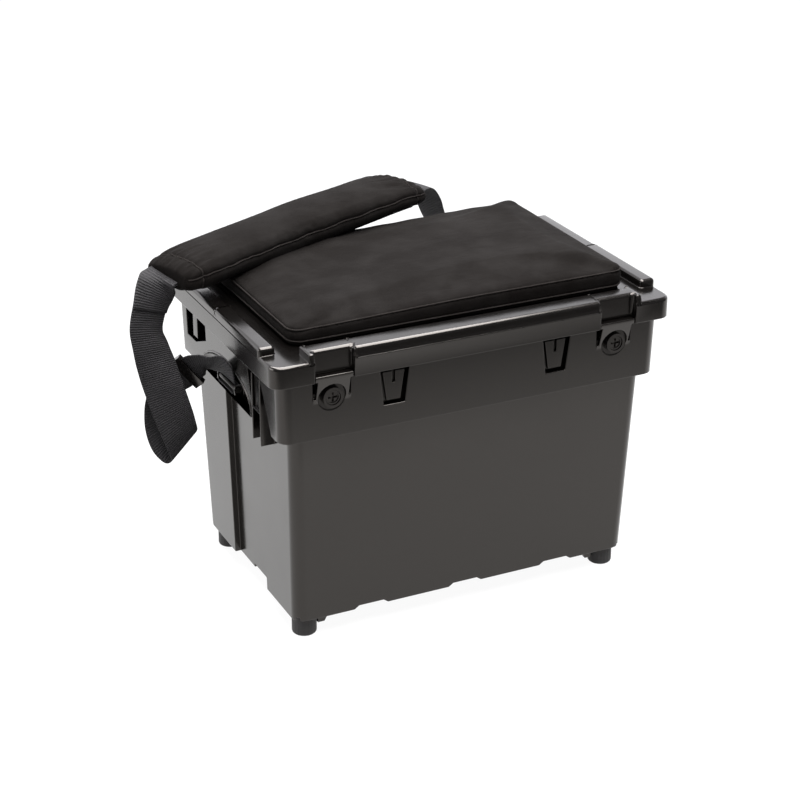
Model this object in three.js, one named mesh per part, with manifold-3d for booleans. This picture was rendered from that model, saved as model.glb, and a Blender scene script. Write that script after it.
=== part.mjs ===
// A fishing seat box: a moulded tub on four feet, a collar snapped round its rim, a hinged lid with two
// quarter-turn locks and a padded seat, and a shoulder strap whose pad lies over the seat.
// Lengths are in millimetres. X runs along the box, Y from front to back and Z up.
import * as THREE from "three";
import { mergeVertices } from "three/addons/utils/BufferGeometryUtils.js";
import Module from "manifold-3d";

const wasm = await Module();
wasm.setup();

// Sizes that several pieces share
const fit = 0.3; // gap between two pieces that touch
const overrun = 6; // how far a cutting shape runs past what it cuts
const weld = 0.001;
const steps = {
  corner: 4,
  edge: 3,
  round: 20,
  fine: 12,
  dishAround: 24,
  dishDown: 12,
  ribbon: 3,
  padAlong: 22,
  padAround: 18,
  cushionSide: 10,
};

const lid = {
  length: 480,
  depth: 324,
  deckHeight: 344.3, // top of the deck above the ground
  skirt: 24.3, // from the deck down to the lower edge
  wall: 3,
  corner: 14,
  edge: 4,
  lipDepth: 8,
  lipWall: 2,
  lipGap: 1.5,
  ribDepth: 6,
  crossRibDepth: 5,
  ribWall: 2,
  ribSpacing: 67,
  crossRibSpacing: 70,
};
const rimRoom = 41; // from the lid's side to the end of a raised rim
const raised = {
  rise: 9.2, // rims above the deck
  edge: 4,
  corner: 4.2,
  frontLength: lid.length - 2 * rimRoom,
  frontDepth: 28,
  endWidth: 19,
  endLength: lid.depth - 2 * rimRoom + 8,
  rearLength: lid.length - 2 * rimRoom,
  rearDepth: 15,
  ribWall: 2,
  ribSpacing: 49,
  stepLength: lid.depth * 0.373, // the rear stretch of an end rim, which is a little lower
  stepDrop: 1.4,
  mostRoundingShare: 0.8, // of half a rim's width
};
const notch = {
  centre: lid.length / 2 - 69.5, // each finger notch from the middle of the box
  width: 45,
  depth: 20, // below its sill, where the lock's ledge goes in
  faceDepth: 8, // above the sill
  faceWall: 3,
  backWall: 4,
  cheek: 6,
};
const collar = {
  length: lid.length - 20.6, // the lid's skirt hangs outside it
  depth: lid.depth - 17,
  height: 90,
  draft: 1.4, // how much each side draws in from the lid down to the lower edge
  wall: 3,
  corner: 14,
  flange: 3,
  ribWall: 2.5,
};
const lug = {
  width: 43,
  reach: 8, // its top ledge in front of the collar
  ledgeHeight: 6.5, // its top above the lid's lower edge
  lip: 3.5,
  fall: 28, // from the lid's lower edge down to where it runs into the collar
  slotWidth: 3,
  slotHeight: 22,
  recessRadius: 16,
  recessDepth: 1.2, // the round recess goes this far into the collar's own wall
  lockDrop: 21, // the lock's axis below the lid's lower edge
};
const snap = {
  centre: 98,
  topWidth: 34.6,
  lowWidth: 24.8,
  height: 41.8,
  drop: 2.2, // top of the window below the lid's lower edge
  gap: 4.2,
  recess: 3, // the tongue's face behind the collar's face
  slitWidth: 3.4,
  slitHeight: 17.8,
};
const endSnap = {
  drop: 12.3, // top of both end windows below the lid's lower edge
  rearStart: 65,
  rearWidth: 61.5,
  rearHeight: 32.5,
  rearChamferWidth: 35,
  rearChamferHeight: 14,
  tongueStart: 97,
  tongueWidth: 14,
  tongueRecess: 2.5,
  tongueGap: 2,
  frontStart: 62,
  frontEnd: 97,
  frontTaper: 9.5,
  frontHeight: 40,
  channelEnd: 127,
};
const fin = {
  innerStart: 72.5,
  outerStart: 95,
  wall: 2.3,
  belowCollar: 23,
  sill: 2.5,
  seatWidth: 78, // the sloping seat behind the fins
  seatDepth: 5.7,
  seatHeight: 54,
};
const tubLength = collar.length - 30.8; // the collar goes round it
const tubDepth = collar.depth - 14.6;
const tub = {
  length: tubLength, // outside, from the collar's lower edge up
  depth: tubDepth,
  footLength: tubLength - 10.6, // outside, at its lower edge
  footDepth: tubDepth - 23.4,
  wall: 3,
  floor: 3,
  corner: 14,
  skirt: 4,
  panelRear: 48, // the recessed panel in each end runs between these two
  panelFront: 50,
  panelDepth: 7,
  panelAboveCollar: 30,
  reliefWidth: 42,
  reliefTop: 30,
  reliefSpacing: 117.5,
  endReliefRear: 4,
  ribWall: 2,
  ribHeight: 3.5,
  crossRibHeight: 2.5,
  ribEnd: 16, // from a rib's end to the tub's side
  ribSpacing: 66,
  crossRibSpacing: 70,
};
const foot = {
  height: 28,
  radius: 14,
  edge: 2.5,
  spacingX: tub.footLength - 36.4,
  spacingY: tub.footDepth - 41,
  boreRadius: 2.5,
  counterRadius: 6,
  counterDepth: 14,
  bossRadius: 7,
  bossHeight: 9,
  gussetLength: 17,
  gussetDrop: 19,
  gussetWidth: 10,
};
const scoop = {
  centreY: 5,
  aboveEdge: 4, // its centre above the collar's lower edge
  halfLength: 74,
  halfHeight: 34,
  depth: 12,
  wall: 2.2,
};
const bar = {
  radius: 3,
  length: 54,
  centreY: 4,
  aboveEdge: 12,
  inset: 3.9, // its axis behind the collar's face
  lugWall: 3,
  lugHeight: 11,
  webbing: 21, // half the tape's width round it
};
const hinge = {
  behindLid: 6, // the pin's axis behind the lid's rear face
  belowLid: 8, // and below the lid's lower edge
  centre: notch.centre + 0.5,
  knuckleWidth: 30,
  knuckleRadius: 7,
  earWidth: 6.5,
  earGap: 0.5,
  earRise: 23,
  pinRadius: 2.5,
  headRadius: 4.5,
  headWidth: 1.6,
  clipRadius: 4.8,
  clipWidth: 1,
  tail: 3.4,
};
const lock = {
  bezelRadius: 11.5,
  bezelWall: 3,
  bezelLength: 5.7,
  headGap: 0.5,
  headLength: 4.6,
  slotWidth: 2.4,
  slotDepth: 2.2,
  slotReach: 5.2, // from the axis to each end of the crossed slots
  rimWall: 1.6, // the raised rim round the turning head
  rimDepth: 1.2,
  shaftRadius: 5,
  bushRadius: 8,
  bushFlangeRadius: 11,
  bushFlange: 2,
  tenon: 6,
  hubRadius: 6.8,
  camLength: 23,
  camWidth: 10,
  camThickness: 3,
  camGap: 7.1, // from the bush's flange to the cam
  screwRadius: 2,
  screwHead: 4.5,
  screwHeadHeight: 2,
  screwLength: 9,
};
const keeper = {
  start: 8, // from the lock's axis outwards
  width: 16,
  plate: 2,
  shelf: 11,
  belowCam: 0.8,
  topGap: 3,
  screwRadius: 1.5,
  screwHead: 3,
  screwHeadHeight: 1.4,
  screwLength: 2.6,
  screwDrop: 6,
  screwSpacing: 9,
};
const cushion = {
  length: lid.length - 78, // room to the raised rims
  depth: lid.depth - 68,
  centreY: 15,
  seamHeight: 23,
  crown: 5,
  corner: 16,
  drawIn: 4,
  baseInset: 3,
  bulge: 2,
  boardInset: 12,
  board: 4,
  screwRadius: 2,
  screwHead: 4.5,
  screwHeadHeight: 1.8,
  screwInset: 60,
};
const pad = {
  length: 379,
  width: 84,
  thickness: 32,
  turn: 22.3, // degrees, seen from above
  centreX: -95.5,
  centreY: 119.9,
  height: lid.deckHeight + 46.2, // middle of the pad above the ground
  rise: 4, // each end above or below that
  arch: 2,
  gather: 32,
  endWidthShare: 0.88,
  endThicknessShare: 0.4,
  tapeAside: 8, // the left tape's middle towards the rear from the pad's own
  roundPower: 2.6,
};
const webbing = { width: 44, thickness: 2, tail: 9 };
const slider = { length: 41, height: 12, barThickness: 2.2, slotGap: 0.8, webbingWidth: 34, ends: [-6, -4] };

// Heights and half sizes worked out from the sizes above
const half = (value) => value / 2;
const lidLow = lid.deckHeight - lid.skirt;
const deckLow = lid.deckHeight - lid.wall;
const collarTop = deckLow - fit;
const collarLow = collarTop - collar.height;
const flangeLow = collarTop - collar.flange;
const tubTop = flangeLow - fit;
const skirtLow = foot.height - tub.skirt;
const floorTop = foot.height + tub.floor;
const rimTop = lid.deckHeight + raised.rise;
const lidX = half(lid.length);
const lidY = half(lid.depth);
const collarX = half(collar.length);
const collarY = half(collar.depth);
const tubX = half(tub.length);
const tubY = half(tub.depth);
const collarInX = collarX - collar.wall;
const collarInY = collarY - collar.wall;
const tubInX = tubX - tub.wall;
const tubInY = tubY - tub.wall;
const ledgeTop = lidLow + lug.ledgeHeight;
const notchSill = ledgeTop + fit + fit;
const lockZ = lidLow - lug.lockDrop;
const notchWallY = -lidY + notch.depth;
const notchFaceY = -lidY + notch.faceDepth;
const pinY = lidY + hinge.behindLid;
const pinZ = lidLow - hinge.belowLid;
const barX = collarX - bar.inset;
const barZ = collarLow + bar.aboveEdge;
const sides = [-1, 1];

// Materials
const plastic = (color, roughness) => new THREE.MeshStandardMaterial({ color, roughness, metalness: 0 });
const steel = new THREE.MeshStandardMaterial({ color: 0xa9abad, roughness: 0.35, metalness: 1 });
const boxPlastic = plastic(0x1b1b1c, 0.42);
const lockPlastic = plastic(0x161617, 0.35);
const rubber = plastic(0x202021, 0.8);
const cloth = plastic(0x17171a, 0.9);
const tape = plastic(0x131315, 0.85);
const ply = plastic(0x8a6b45, 0.8);

// Turns a closed three.js geometry into a solid that can be joined and cut
function solid(geometry) {
  const bare = geometry.clone();
  for (const name of Object.keys(bare.attributes)) {
    if (name !== "position") bare.deleteAttribute(name);
  }
  const merged = mergeVertices(bare, weld);
  return new wasm.Manifold(
    new wasm.Mesh({
      numProp: 3,
      vertProperties: merged.attributes.position.array,
      triVerts: new Uint32Array(merged.index.array),
    }),
  );
}

const join = (shapes) => shapes.reduce((whole, shape) => whole.add(shape));
const cut = (whole, shapes) => shapes.reduce((rest, shape) => rest.subtract(shape), whole);

// A box between two values along each axis
function block([xa, xb], [ya, yb], [za, zb]) {
  const box = new THREE.BoxGeometry(Math.abs(xb - xa), Math.abs(yb - ya), Math.abs(zb - za));
  return solid(box.translate(half(xa + xb), half(ya + yb), half(za + zb)));
}

// A round bar along one axis: "across" gives its two other coordinates in X, Y, Z order
function rod(axis, radius, [from, to], [u, v], sidesRound = steps.round) {
  const shape = new THREE.CylinderGeometry(radius, radius, Math.abs(to - from), sidesRound);
  const middle = half(from + to);
  if (axis === "x") shape.rotateZ(-Math.PI / 2).translate(middle, u, v);
  if (axis === "y") shape.translate(u, middle, v);
  if (axis === "z") shape.rotateX(Math.PI / 2).translate(u, v, middle);
  return solid(shape);
}

// An outline drawn in the plane across an axis and pushed along it
function prism(axis, outline, [from, to]) {
  const drawn = outline.map(([u, v]) => new THREE.Vector2(u, v));
  if (THREE.ShapeUtils.isClockWise(drawn)) drawn.reverse();
  const shape = new THREE.ExtrudeGeometry(new THREE.Shape(drawn), {
    depth: Math.abs(to - from),
    bevelEnabled: false,
  });
  const turn = new THREE.Matrix4();
  if (axis === "x") turn.set(0, 0, 1, Math.min(from, to), 1, 0, 0, 0, 0, 1, 0, 0, 0, 0, 0, 1);
  if (axis === "y") turn.set(1, 0, 0, 0, 0, 0, -1, Math.max(from, to), 0, 1, 0, 0, 0, 0, 0, 1);
  if (axis === "z") turn.makeTranslation(0, 0, Math.min(from, to));
  return solid(shape.applyMatrix4(turn));
}

// A closed skin over rings of points, each ring turning anticlockwise seen from the last one
function loft(rings) {
  const count = rings[0].length;
  const points = rings.flat();
  const faces = [];
  const last = (rings.length - 1) * count;
  for (let ring = 0; ring < rings.length - 1; ring += 1) {
    for (let i = 0; i < count; i += 1) {
      const next = (i + 1) % count;
      const low = ring * count;
      const high = low + count;
      faces.push(low + i, low + next, high + next, low + i, high + next, high + i);
    }
  }
  const middleOf = (ring) => {
    const sum = ring.reduce((total, point) => total.add(point), new THREE.Vector3());
    return sum.divideScalar(ring.length);
  };
  const first = points.push(middleOf(rings[0])) - 1;
  const end = points.push(middleOf(rings[rings.length - 1])) - 1;
  for (let i = 0; i < count; i += 1) {
    const next = (i + 1) % count;
    faces.push(first, next, i, end, last + i, last + next);
  }
  const skin = new THREE.BufferGeometry().setFromPoints(points);
  skin.setIndex(faces);
  return skin;
}

// A rounded rectangle as a ring of points at height z
function roundedRing(halfX, halfY, radius, z, [centreX, centreY] = [0, 0], perCorner = steps.corner) {
  const ring = [];
  const r = Math.max(radius, fit);
  const corners = [
    [1, 1],
    [-1, 1],
    [-1, -1],
    [1, -1],
  ];
  corners.forEach(([sx, sy], quarter) => {
    for (let i = 0; i <= perCorner; i += 1) {
      const angle = ((quarter + i / perCorner) * Math.PI) / 2;
      const x = centreX + sx * (halfX - r) + r * Math.cos(angle);
      ring.push(new THREE.Vector3(x, centreY + sy * (halfY - r) + r * Math.sin(angle), z));
    }
  });
  return ring;
}

// An upright slab with rounded corners whose top edge is rounded over too
function roundedSlab([xa, xb], [ya, yb], [low, high], corner, edge) {
  const centre = [half(xa + xb), half(ya + yb)];
  const halfX = half(Math.abs(xb - xa));
  const halfY = half(Math.abs(yb - ya));
  const rounding = Math.min(edge, Math.min(halfX, halfY) * raised.mostRoundingShare);
  const rings = [roundedRing(halfX, halfY, corner, low, centre, steps.edge)];
  for (let i = 0; i <= steps.edge; i += 1) {
    const angle = ((i / steps.edge) * Math.PI) / 2;
    const inset = rounding * (1 - Math.cos(angle));
    const z = high - rounding + rounding * Math.sin(angle);
    rings.push(roundedRing(halfX - inset, halfY - inset, corner - inset, z, centre, steps.edge));
  }
  return solid(loft(rings));
}

// A spun profile of radius and height pairs about an upright axis
function spun(profile, [x, y], sidesRound = steps.round) {
  const drawn = profile.map(([r, z]) => new THREE.Vector2(r, z));
  return solid(new THREE.LatheGeometry(drawn, sidesRound).rotateX(Math.PI / 2).translate(x, y, 0));
}

// A bowl-shaped body, half of it behind the face at x = faceX
function bowl(faceX, depth, halfLength, halfHeight, centreY, centreZ) {
  const ball = new THREE.SphereGeometry(1, steps.dishAround, steps.dishDown);
  return solid(ball.scale(depth, halfLength, halfHeight).translate(faceX, centreY, centreZ));
}

const seatBox = new THREE.Group();

function addPiece(name, shape, material) {
  const made = shape.getMesh();
  const geometry = new THREE.BufferGeometry();
  geometry.setAttribute("position", new THREE.BufferAttribute(made.vertProperties, 3));
  geometry.setIndex(new THREE.BufferAttribute(made.triVerts, 1));
  geometry.computeVertexNormals();
  const mesh = new THREE.Mesh(geometry, material);
  mesh.name = name;
  seatBox.add(mesh);
}

// Even places on both sides of the middle, as far as a limit
function spread(spacing, limit) {
  const places = [];
  const most = Math.floor(limit / spacing);
  for (let i = -most; i <= most; i += 1) places.push(i * spacing);
  return places;
}

// The tub's outside at its lower edge, the collar's lower edge and its rim
function tubRings(inset, low, high) {
  const radius = tub.corner - inset;
  return [
    roundedRing(half(tub.footLength) - inset, half(tub.footDepth) - inset, radius, low),
    roundedRing(tubX - inset, tubY - inset, radius, collarLow),
    roundedRing(tubX - inset, tubY - inset, radius, high),
  ];
}

// The body that presses the recessed panel into one end of the tub
function endPanel(side, inset) {
  const low = side * (half(tub.footLength) - tub.panelDepth - inset);
  const high = side * (tubX - tub.panelDepth - inset);
  const out = side * (tubX + overrun);
  const top = collarLow + tub.panelAboveCollar + inset;
  const outline = [
    [low, skirtLow - overrun],
    [high, collarLow],
    [high, top],
    [out, top],
    [out, skirtLow - overrun],
  ];
  return prism("y", outline, [-tub.panelFront - inset, tub.panelRear + inset]);
}

// The outline of a front snap window, or of the tongue inside it
function snapOutline(centreX, gap, top) {
  const high = lidLow - snap.drop;
  const low = high - snap.height;
  const wide = half(snap.topWidth) - gap;
  const narrow = half(snap.lowWidth) - gap;
  return [
    [centreX - wide, top],
    [centreX - wide, high - gap],
    [centreX - narrow, low + gap],
    [centreX + narrow, low + gap],
    [centreX + wide, high - gap],
    [centreX + wide, top],
  ];
}

function snapTongue(sideX, sideY) {
  const centreX = sideX * snap.centre;
  const high = lidLow - snap.drop;
  const face = sideY * (collarY - snap.recess);
  const tongue = prism("y", snapOutline(centreX, snap.gap, high - snap.gap), [
    face,
    sideY * (tubY - half(tub.wall)),
  ]);
  const slit = block(
    [centreX - half(snap.slitWidth), centreX + half(snap.slitWidth)],
    [face + sideY * overrun, sideY * (tubY + fit)],
    [high - snap.slitHeight, high + fit],
  );
  return tongue.subtract(slit);
}

// The ribs and tongues that stand out from one end of the tub
function endFins(side) {
  const root = side * (tubX - half(tub.wall));
  const face = side * (collarX - fit);
  const top = lidLow - endSnap.drop - endSnap.tongueGap;
  const low = collarLow - fin.belowCollar;
  const sillLow = lidLow - endSnap.drop - endSnap.frontHeight - fin.sill;
  const tongueFace = side * (collarX - endSnap.tongueRecess);
  const inner = -fin.innerStart;
  const outer = -fin.outerStart;
  const seatTop = collarLow + fin.seatHeight;
  const seat = [
    [root, collarLow + fit],
    [side * tubX, collarLow + fit],
    [side * (tubX + fin.seatDepth), seatTop],
    [root, seatTop + fin.seatDepth],
  ];
  return join([
    block([root, face], [inner - fin.wall, inner], [low, top]),
    block([root, face], [outer - fin.wall, outer], [low, top]),
    block([root, face], [outer, inner - fin.wall], [sillLow, sillLow + fin.sill]),
    block([root, tongueFace], [outer, inner - fin.wall - endSnap.tongueGap], [sillLow, top]),
    block(
      [root, tongueFace],
      [endSnap.tongueStart, endSnap.tongueStart + endSnap.tongueWidth],
      [lidLow - endSnap.drop - endSnap.rearHeight + endSnap.tongueGap * 2, top],
    ),
    prism("y", seat, [outer - fin.seatWidth / 2, -endSnap.frontStart]),
  ]);
}

function makeTub() {
  const cavityTop = tubTop + overrun;
  const inside = cut(solid(loft(tubRings(tub.wall, floorTop, cavityTop))), [
    endPanel(-1, tub.wall),
    endPanel(1, tub.wall),
  ]);
  const underside = cut(
    block(
      [-half(tub.footLength) + tub.wall, half(tub.footLength) - tub.wall],
      [-half(tub.footDepth) + tub.wall, half(tub.footDepth) - tub.wall],
      [skirtLow - overrun, foot.height],
    ),
    [endPanel(-1, tub.wall), endPanel(1, tub.wall)],
  );
  let shell = cut(solid(loft(tubRings(0, skirtLow, tubTop))), [
    endPanel(-1, 0),
    endPanel(1, 0),
    inside,
    underside,
  ]);
  const added = [];
  const ribLow = foot.height - tub.ribHeight;
  const crossRibLow = foot.height - tub.crossRibHeight;
  const ribX = half(tub.footLength) - tub.panelDepth - tub.wall;
  const ribY = half(tub.footDepth) - tub.wall - tub.ribEnd;
  const ribTop = foot.height + half(tub.floor);
  for (const x of spread(tub.ribSpacing, ribX - foot.radius * 2)) {
    added.push(block([x - half(tub.ribWall), x + half(tub.ribWall)], [-ribY, ribY], [ribLow, ribTop]));
  }
  for (const y of spread(tub.crossRibSpacing, ribY - foot.radius * 2)) {
    added.push(block([-ribX, ribX], [y - half(tub.ribWall), y + half(tub.ribWall)], [crossRibLow, ribTop]));
  }
  for (const sx of sides) {
    added.push(endFins(sx));
    for (const sy of sides) {
      added.push(snapTongue(sx, sy));
      const x = sx * half(foot.spacingX);
      const y = sy * half(foot.spacingY);
      added.push(rod("z", foot.bossRadius, [foot.height + fit, floorTop + foot.bossHeight], [x, y]));
      const near = x - sx * (foot.radius + fit);
      const gusset = [
        [near, foot.height + half(tub.floor)],
        [near, foot.height - foot.gussetDrop],
        [near - sx * half(foot.gussetLength), foot.height - foot.gussetDrop],
        [near - sx * foot.gussetLength, foot.height - tub.skirt],
        [near - sx * foot.gussetLength, foot.height + half(tub.floor)],
      ];
      added.push(prism("y", gusset, [y - half(foot.gussetWidth), y + half(foot.gussetWidth)]));
    }
  }
  shell = join([shell, ...added]);
  const cuts = [];
  for (const sx of sides) {
    for (const sy of sides) {
      const place = [sx * half(foot.spacingX), sy * half(foot.spacingY)];
      const boreTop = floorTop + foot.bossHeight - tub.wall;
      cuts.push(rod("z", foot.boreRadius, [foot.height - fit, boreTop], place, steps.fine));
      cuts.push(rod("z", foot.radius + fit, [skirtLow - overrun, foot.height], place));
    }
    const lockPlace = [sx * hinge.centre, lockZ];
    cuts.push(rod("y", lock.bushRadius + fit, [-tubY - overrun, -tubInY + overrun], lockPlace));
    const reach = half(notch.width) + notch.cheek;
    cuts.push(
      block(
        [sx * notch.centre - reach, sx * notch.centre + reach],
        [-tubY - overrun, -tubInY + overrun],
        [lidLow - fit, tubTop + overrun],
      ),
    );
    cuts.push(
      block(
        [sx * (half(tub.footLength) - tub.panelDepth - overrun), sx * tubX],
        [-tub.panelFront, tub.endReliefRear],
        [skirtLow - overrun, foot.height],
      ),
    );
  }
  for (const x of spread(tub.reliefSpacing, tub.reliefSpacing)) {
    const relief = [
      [x - half(tub.reliefWidth), skirtLow - fit],
      [x - half(tub.reliefTop), foot.height],
      [x + half(tub.reliefTop), foot.height],
      [x + half(tub.reliefWidth), skirtLow - fit],
    ];
    cuts.push(prism("y", relief, [-tubY, -half(tub.footDepth) + tub.wall]));
    cuts.push(prism("y", relief, [half(tub.footDepth) - tub.wall, tubY]));
  }
  addPiece("tub", cut(shell, cuts), boxPlastic);
}

// The collar's outside at its lower edge, the lid's lower edge and its top
function collarRings(inset, low, high) {
  const radius = collar.corner - inset;
  return [
    roundedRing(collarX - collar.draft - inset, collarY - collar.draft - inset, radius, low),
    roundedRing(collarX - inset, collarY - inset, radius, lidLow),
    roundedRing(collarX - inset, collarY - inset, radius, high),
  ];
}

// The wedge on the collar that carries a lock and fills the lid's finger notch
function lockLug(side) {
  const x = side * notch.centre;
  const face = -collarY - lug.reach;
  const behind = -collarInY;
  const wedge = [
    [behind, lidLow - lug.fall],
    [-collarY + half(collar.draft), lidLow - lug.fall],
    [face, ledgeTop - lug.lip],
    [face, ledgeTop],
    [behind, ledgeTop],
  ];
  const ledgeEnd = notchWallY - fit - fit;
  return join([
    prism("x", wedge, [x - half(lug.width), x + half(lug.width)]),
    block([x - half(lug.width), x + half(lug.width)], [behind - fit, ledgeEnd], [ledgeTop - lug.lip, ledgeTop]),
  ]);
}

function lugCuts(side) {
  const x = side * notch.centre;
  const centre = side * hinge.centre;
  const front = -collarY - lug.reach - overrun;
  const slot = (offset) =>
    block(
      [x + offset, x + offset - Math.sign(offset) * lug.slotWidth],
      [front, -collarInY + fit],
      [lidLow - lug.slotHeight, lidLow],
    );
  return [
    slot(half(lug.width)),
    slot(-half(lug.width)),
    rod("y", lug.recessRadius, [front, -collarY + lug.recessDepth], [centre, lockZ]),
    rod("y", lock.shaftRadius + fit, [front, -collarInY + overrun], [centre, lockZ]),
  ];
}

// Room for the lid's notch wall: the collar's rim is cut away above the ledge
function rimGap(side) {
  const x = side * notch.centre;
  const reach = half(notch.width) + notch.cheek;
  const y = [-collarY - lug.reach - overrun, -tubInY + overrun];
  const nearLug = half(lug.width);
  return [
    block([x - reach, x + reach], y, [ledgeTop, collarTop + fit]),
    block([x - reach, x - nearLug], y, [lidLow - fit, collarTop + fit]),
    block([x + nearLug, x + reach], y, [lidLow - fit, collarTop + fit]),
  ];
}

// The openings in one end of the collar for the tub's fins and tongues
function endOpenings(side) {
  const top = lidLow - endSnap.drop;
  const low = top - endSnap.frontHeight;
  const under = collarLow - overrun;
  const taperEnd = -endSnap.frontStart - endSnap.frontTaper;
  const front = [
    [-endSnap.frontStart, top],
    [taperEnd, low],
    [taperEnd, under],
    [-endSnap.channelEnd, under],
    [-endSnap.frontEnd, top],
  ];
  const rear = [
    [endSnap.rearStart, top],
    [endSnap.rearStart + endSnap.rearWidth, top],
    [endSnap.rearStart + endSnap.rearWidth, top - endSnap.rearHeight],
    [endSnap.rearStart + endSnap.rearChamferWidth, top - endSnap.rearHeight],
    [endSnap.rearStart, top - endSnap.rearHeight + endSnap.rearChamferHeight],
  ];
  const reach = [side * (collarInX - fit - fit - collar.draft), side * (collarX + overrun)];
  return [prism("x", front, reach), prism("x", rear, reach)];
}

// The hollow dish at the lower edge of one end, which the shoulder strap goes into
function dish(side, grown) {
  const z = collarLow + scoop.aboveEdge;
  return bowl(
    side * collarX,
    scoop.depth + grown,
    scoop.halfLength + grown,
    scoop.halfHeight + grown,
    scoop.centreY,
    z,
  );
}

function barLugs(side) {
  const lugs = [];
  for (const end of sides) {
    const y = bar.centreY + end * (half(bar.length) - bar.lugWall);
    const z = [barZ - bar.lugHeight / 2, barZ + bar.lugHeight / 2];
    lugs.push(block([side * (collarX - scoop.depth), side * (collarX - fit)], [y, y + end * bar.lugWall], z));
  }
  return lugs;
}

function makeCollar() {
  const shell = solid(loft(collarRings(0, collarLow, collarTop)));
  const hollow = solid(loft(collarRings(collar.wall, collarLow - overrun, flangeLow)));
  const mouth = solid(
    loft([
      roundedRing(tubInX, tubInY, tub.corner - tub.wall, flangeLow - overrun),
      roundedRing(tubInX, tubInY, tub.corner - tub.wall, collarTop + overrun),
    ]),
  );
  const added = [];
  const ribZ = [collarLow + collar.wall, flangeLow + half(collar.flange)];
  const ribAt = spread(half(snap.centre), collarX - collar.corner - collar.wall);
  const clear = half(snap.topWidth) + collar.ribWall;
  for (const x of ribAt) {
    const nearSnap = Math.abs(Math.abs(x) - snap.centre) < clear;
    const nearLock = Math.abs(Math.abs(x) - hinge.centre) < lock.bushRadius + clear;
    if (nearSnap || nearLock) continue;
    for (const side of sides) {
      const y = [side * (tubY + fit), side * (collarInY + half(collar.wall))];
      added.push(block([x - half(collar.ribWall), x + half(collar.ribWall)], y, ribZ));
    }
  }
  const ring = (radius, [from, to], place) => rod("x", radius, [from, to], place);
  const knuckleFrom = hinge.centre - half(hinge.knuckleWidth);
  const knuckleTo = hinge.centre + half(hinge.knuckleWidth);
  for (const side of sides) {
    added.push(lockLug(side));
    added.push(dish(side, scoop.wall));
    const span = [side * knuckleFrom, side * knuckleTo];
    added.push(ring(hinge.knuckleRadius, span, [pinY, pinZ]));
    const web = [
      [collarInY + half(collar.wall), pinZ - hinge.knuckleRadius * 3],
      [pinY, pinZ - hinge.knuckleRadius],
      [pinY, pinZ + hinge.knuckleRadius],
      [collarInY + half(collar.wall), pinZ + hinge.knuckleRadius],
    ];
    added.push(prism("x", web, span));
  }
  let body = join([shell.subtract(hollow).subtract(mouth), ...added]);
  const outside = [];
  const farX = collarX + scoop.depth * 3;
  const farY = collarY * 2;
  for (const side of sides) {
    outside.push(block([side * collarX, side * farX], [-farY, farY], [collarLow - farY, lidLow]));
    outside.push(dish(side, 0));
    outside.push(...rimGap(side));
    outside.push(...lugCuts(side));
    outside.push(rod("x", hinge.pinRadius + fit, [side * (knuckleFrom - overrun), side * (knuckleTo + overrun)], [pinY, pinZ]));
    outside.push(...endOpenings(side));
    for (const end of sides) {
      const outline = snapOutline(side * snap.centre, 0, lidLow + fit);
      const reach = [end * (collarInY - fit - collar.draft), end * (collarY + fit)];
      outside.push(prism("y", outline, reach));
    }
  }
  outside.push(block([-farX, farX], [-farY, farY], [collarLow - farY, collarLow]));
  body = cut(body, outside);
  body = join([body, ...barLugs(-1), ...barLugs(1)]);
  const holes = sides.map((side) =>
    rod(
      "y",
      bar.radius + fit,
      [bar.centreY - half(bar.length) - overrun, bar.centreY + half(bar.length) + overrun],
      [side * barX, barZ],
    ),
  );
  addPiece("collar", cut(body, holes), boxPlastic);
}

function makeFeet() {
  const corners = [
    ["front_left", -1, -1],
    ["front_right", 1, -1],
    ["rear_left", -1, 1],
    ["rear_right", 1, 1],
  ];
  const top = foot.height - fit;
  for (const [place, sx, sy] of corners) {
    const centre = [sx * half(foot.spacingX), sy * half(foot.spacingY)];
    const body = [[foot.counterRadius, 0]];
    for (let i = 0; i <= steps.edge; i += 1) {
      const angle = ((i / steps.edge) * Math.PI) / 2;
      body.push([
        foot.radius - foot.edge + foot.edge * Math.sin(angle),
        foot.edge - foot.edge * Math.cos(angle),
      ]);
    }
    const bore = foot.boreRadius + fit;
    body.push([foot.radius, top], [bore, top], [bore, foot.counterDepth], [foot.counterRadius, foot.counterDepth]);
    body.push(body[0]);
    addPiece(`foot_${place}`, spun(body, centre), rubber);
    const head = foot.counterDepth - fit;
    const shank = foot.boreRadius - fit;
    const headLow = head - shank * 1.4;
    const screw = [
      [0, headLow],
      [shank * 2, headLow],
      [shank * 2, head],
      [shank, head],
      [shank, floorTop + foot.bossHeight - tub.wall - fit],
      [0, floorTop + foot.bossHeight - tub.wall - fit],
    ];
    addPiece(`foot_screw_${place}`, spun(screw, centre, steps.fine), steel);
  }
}

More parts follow.
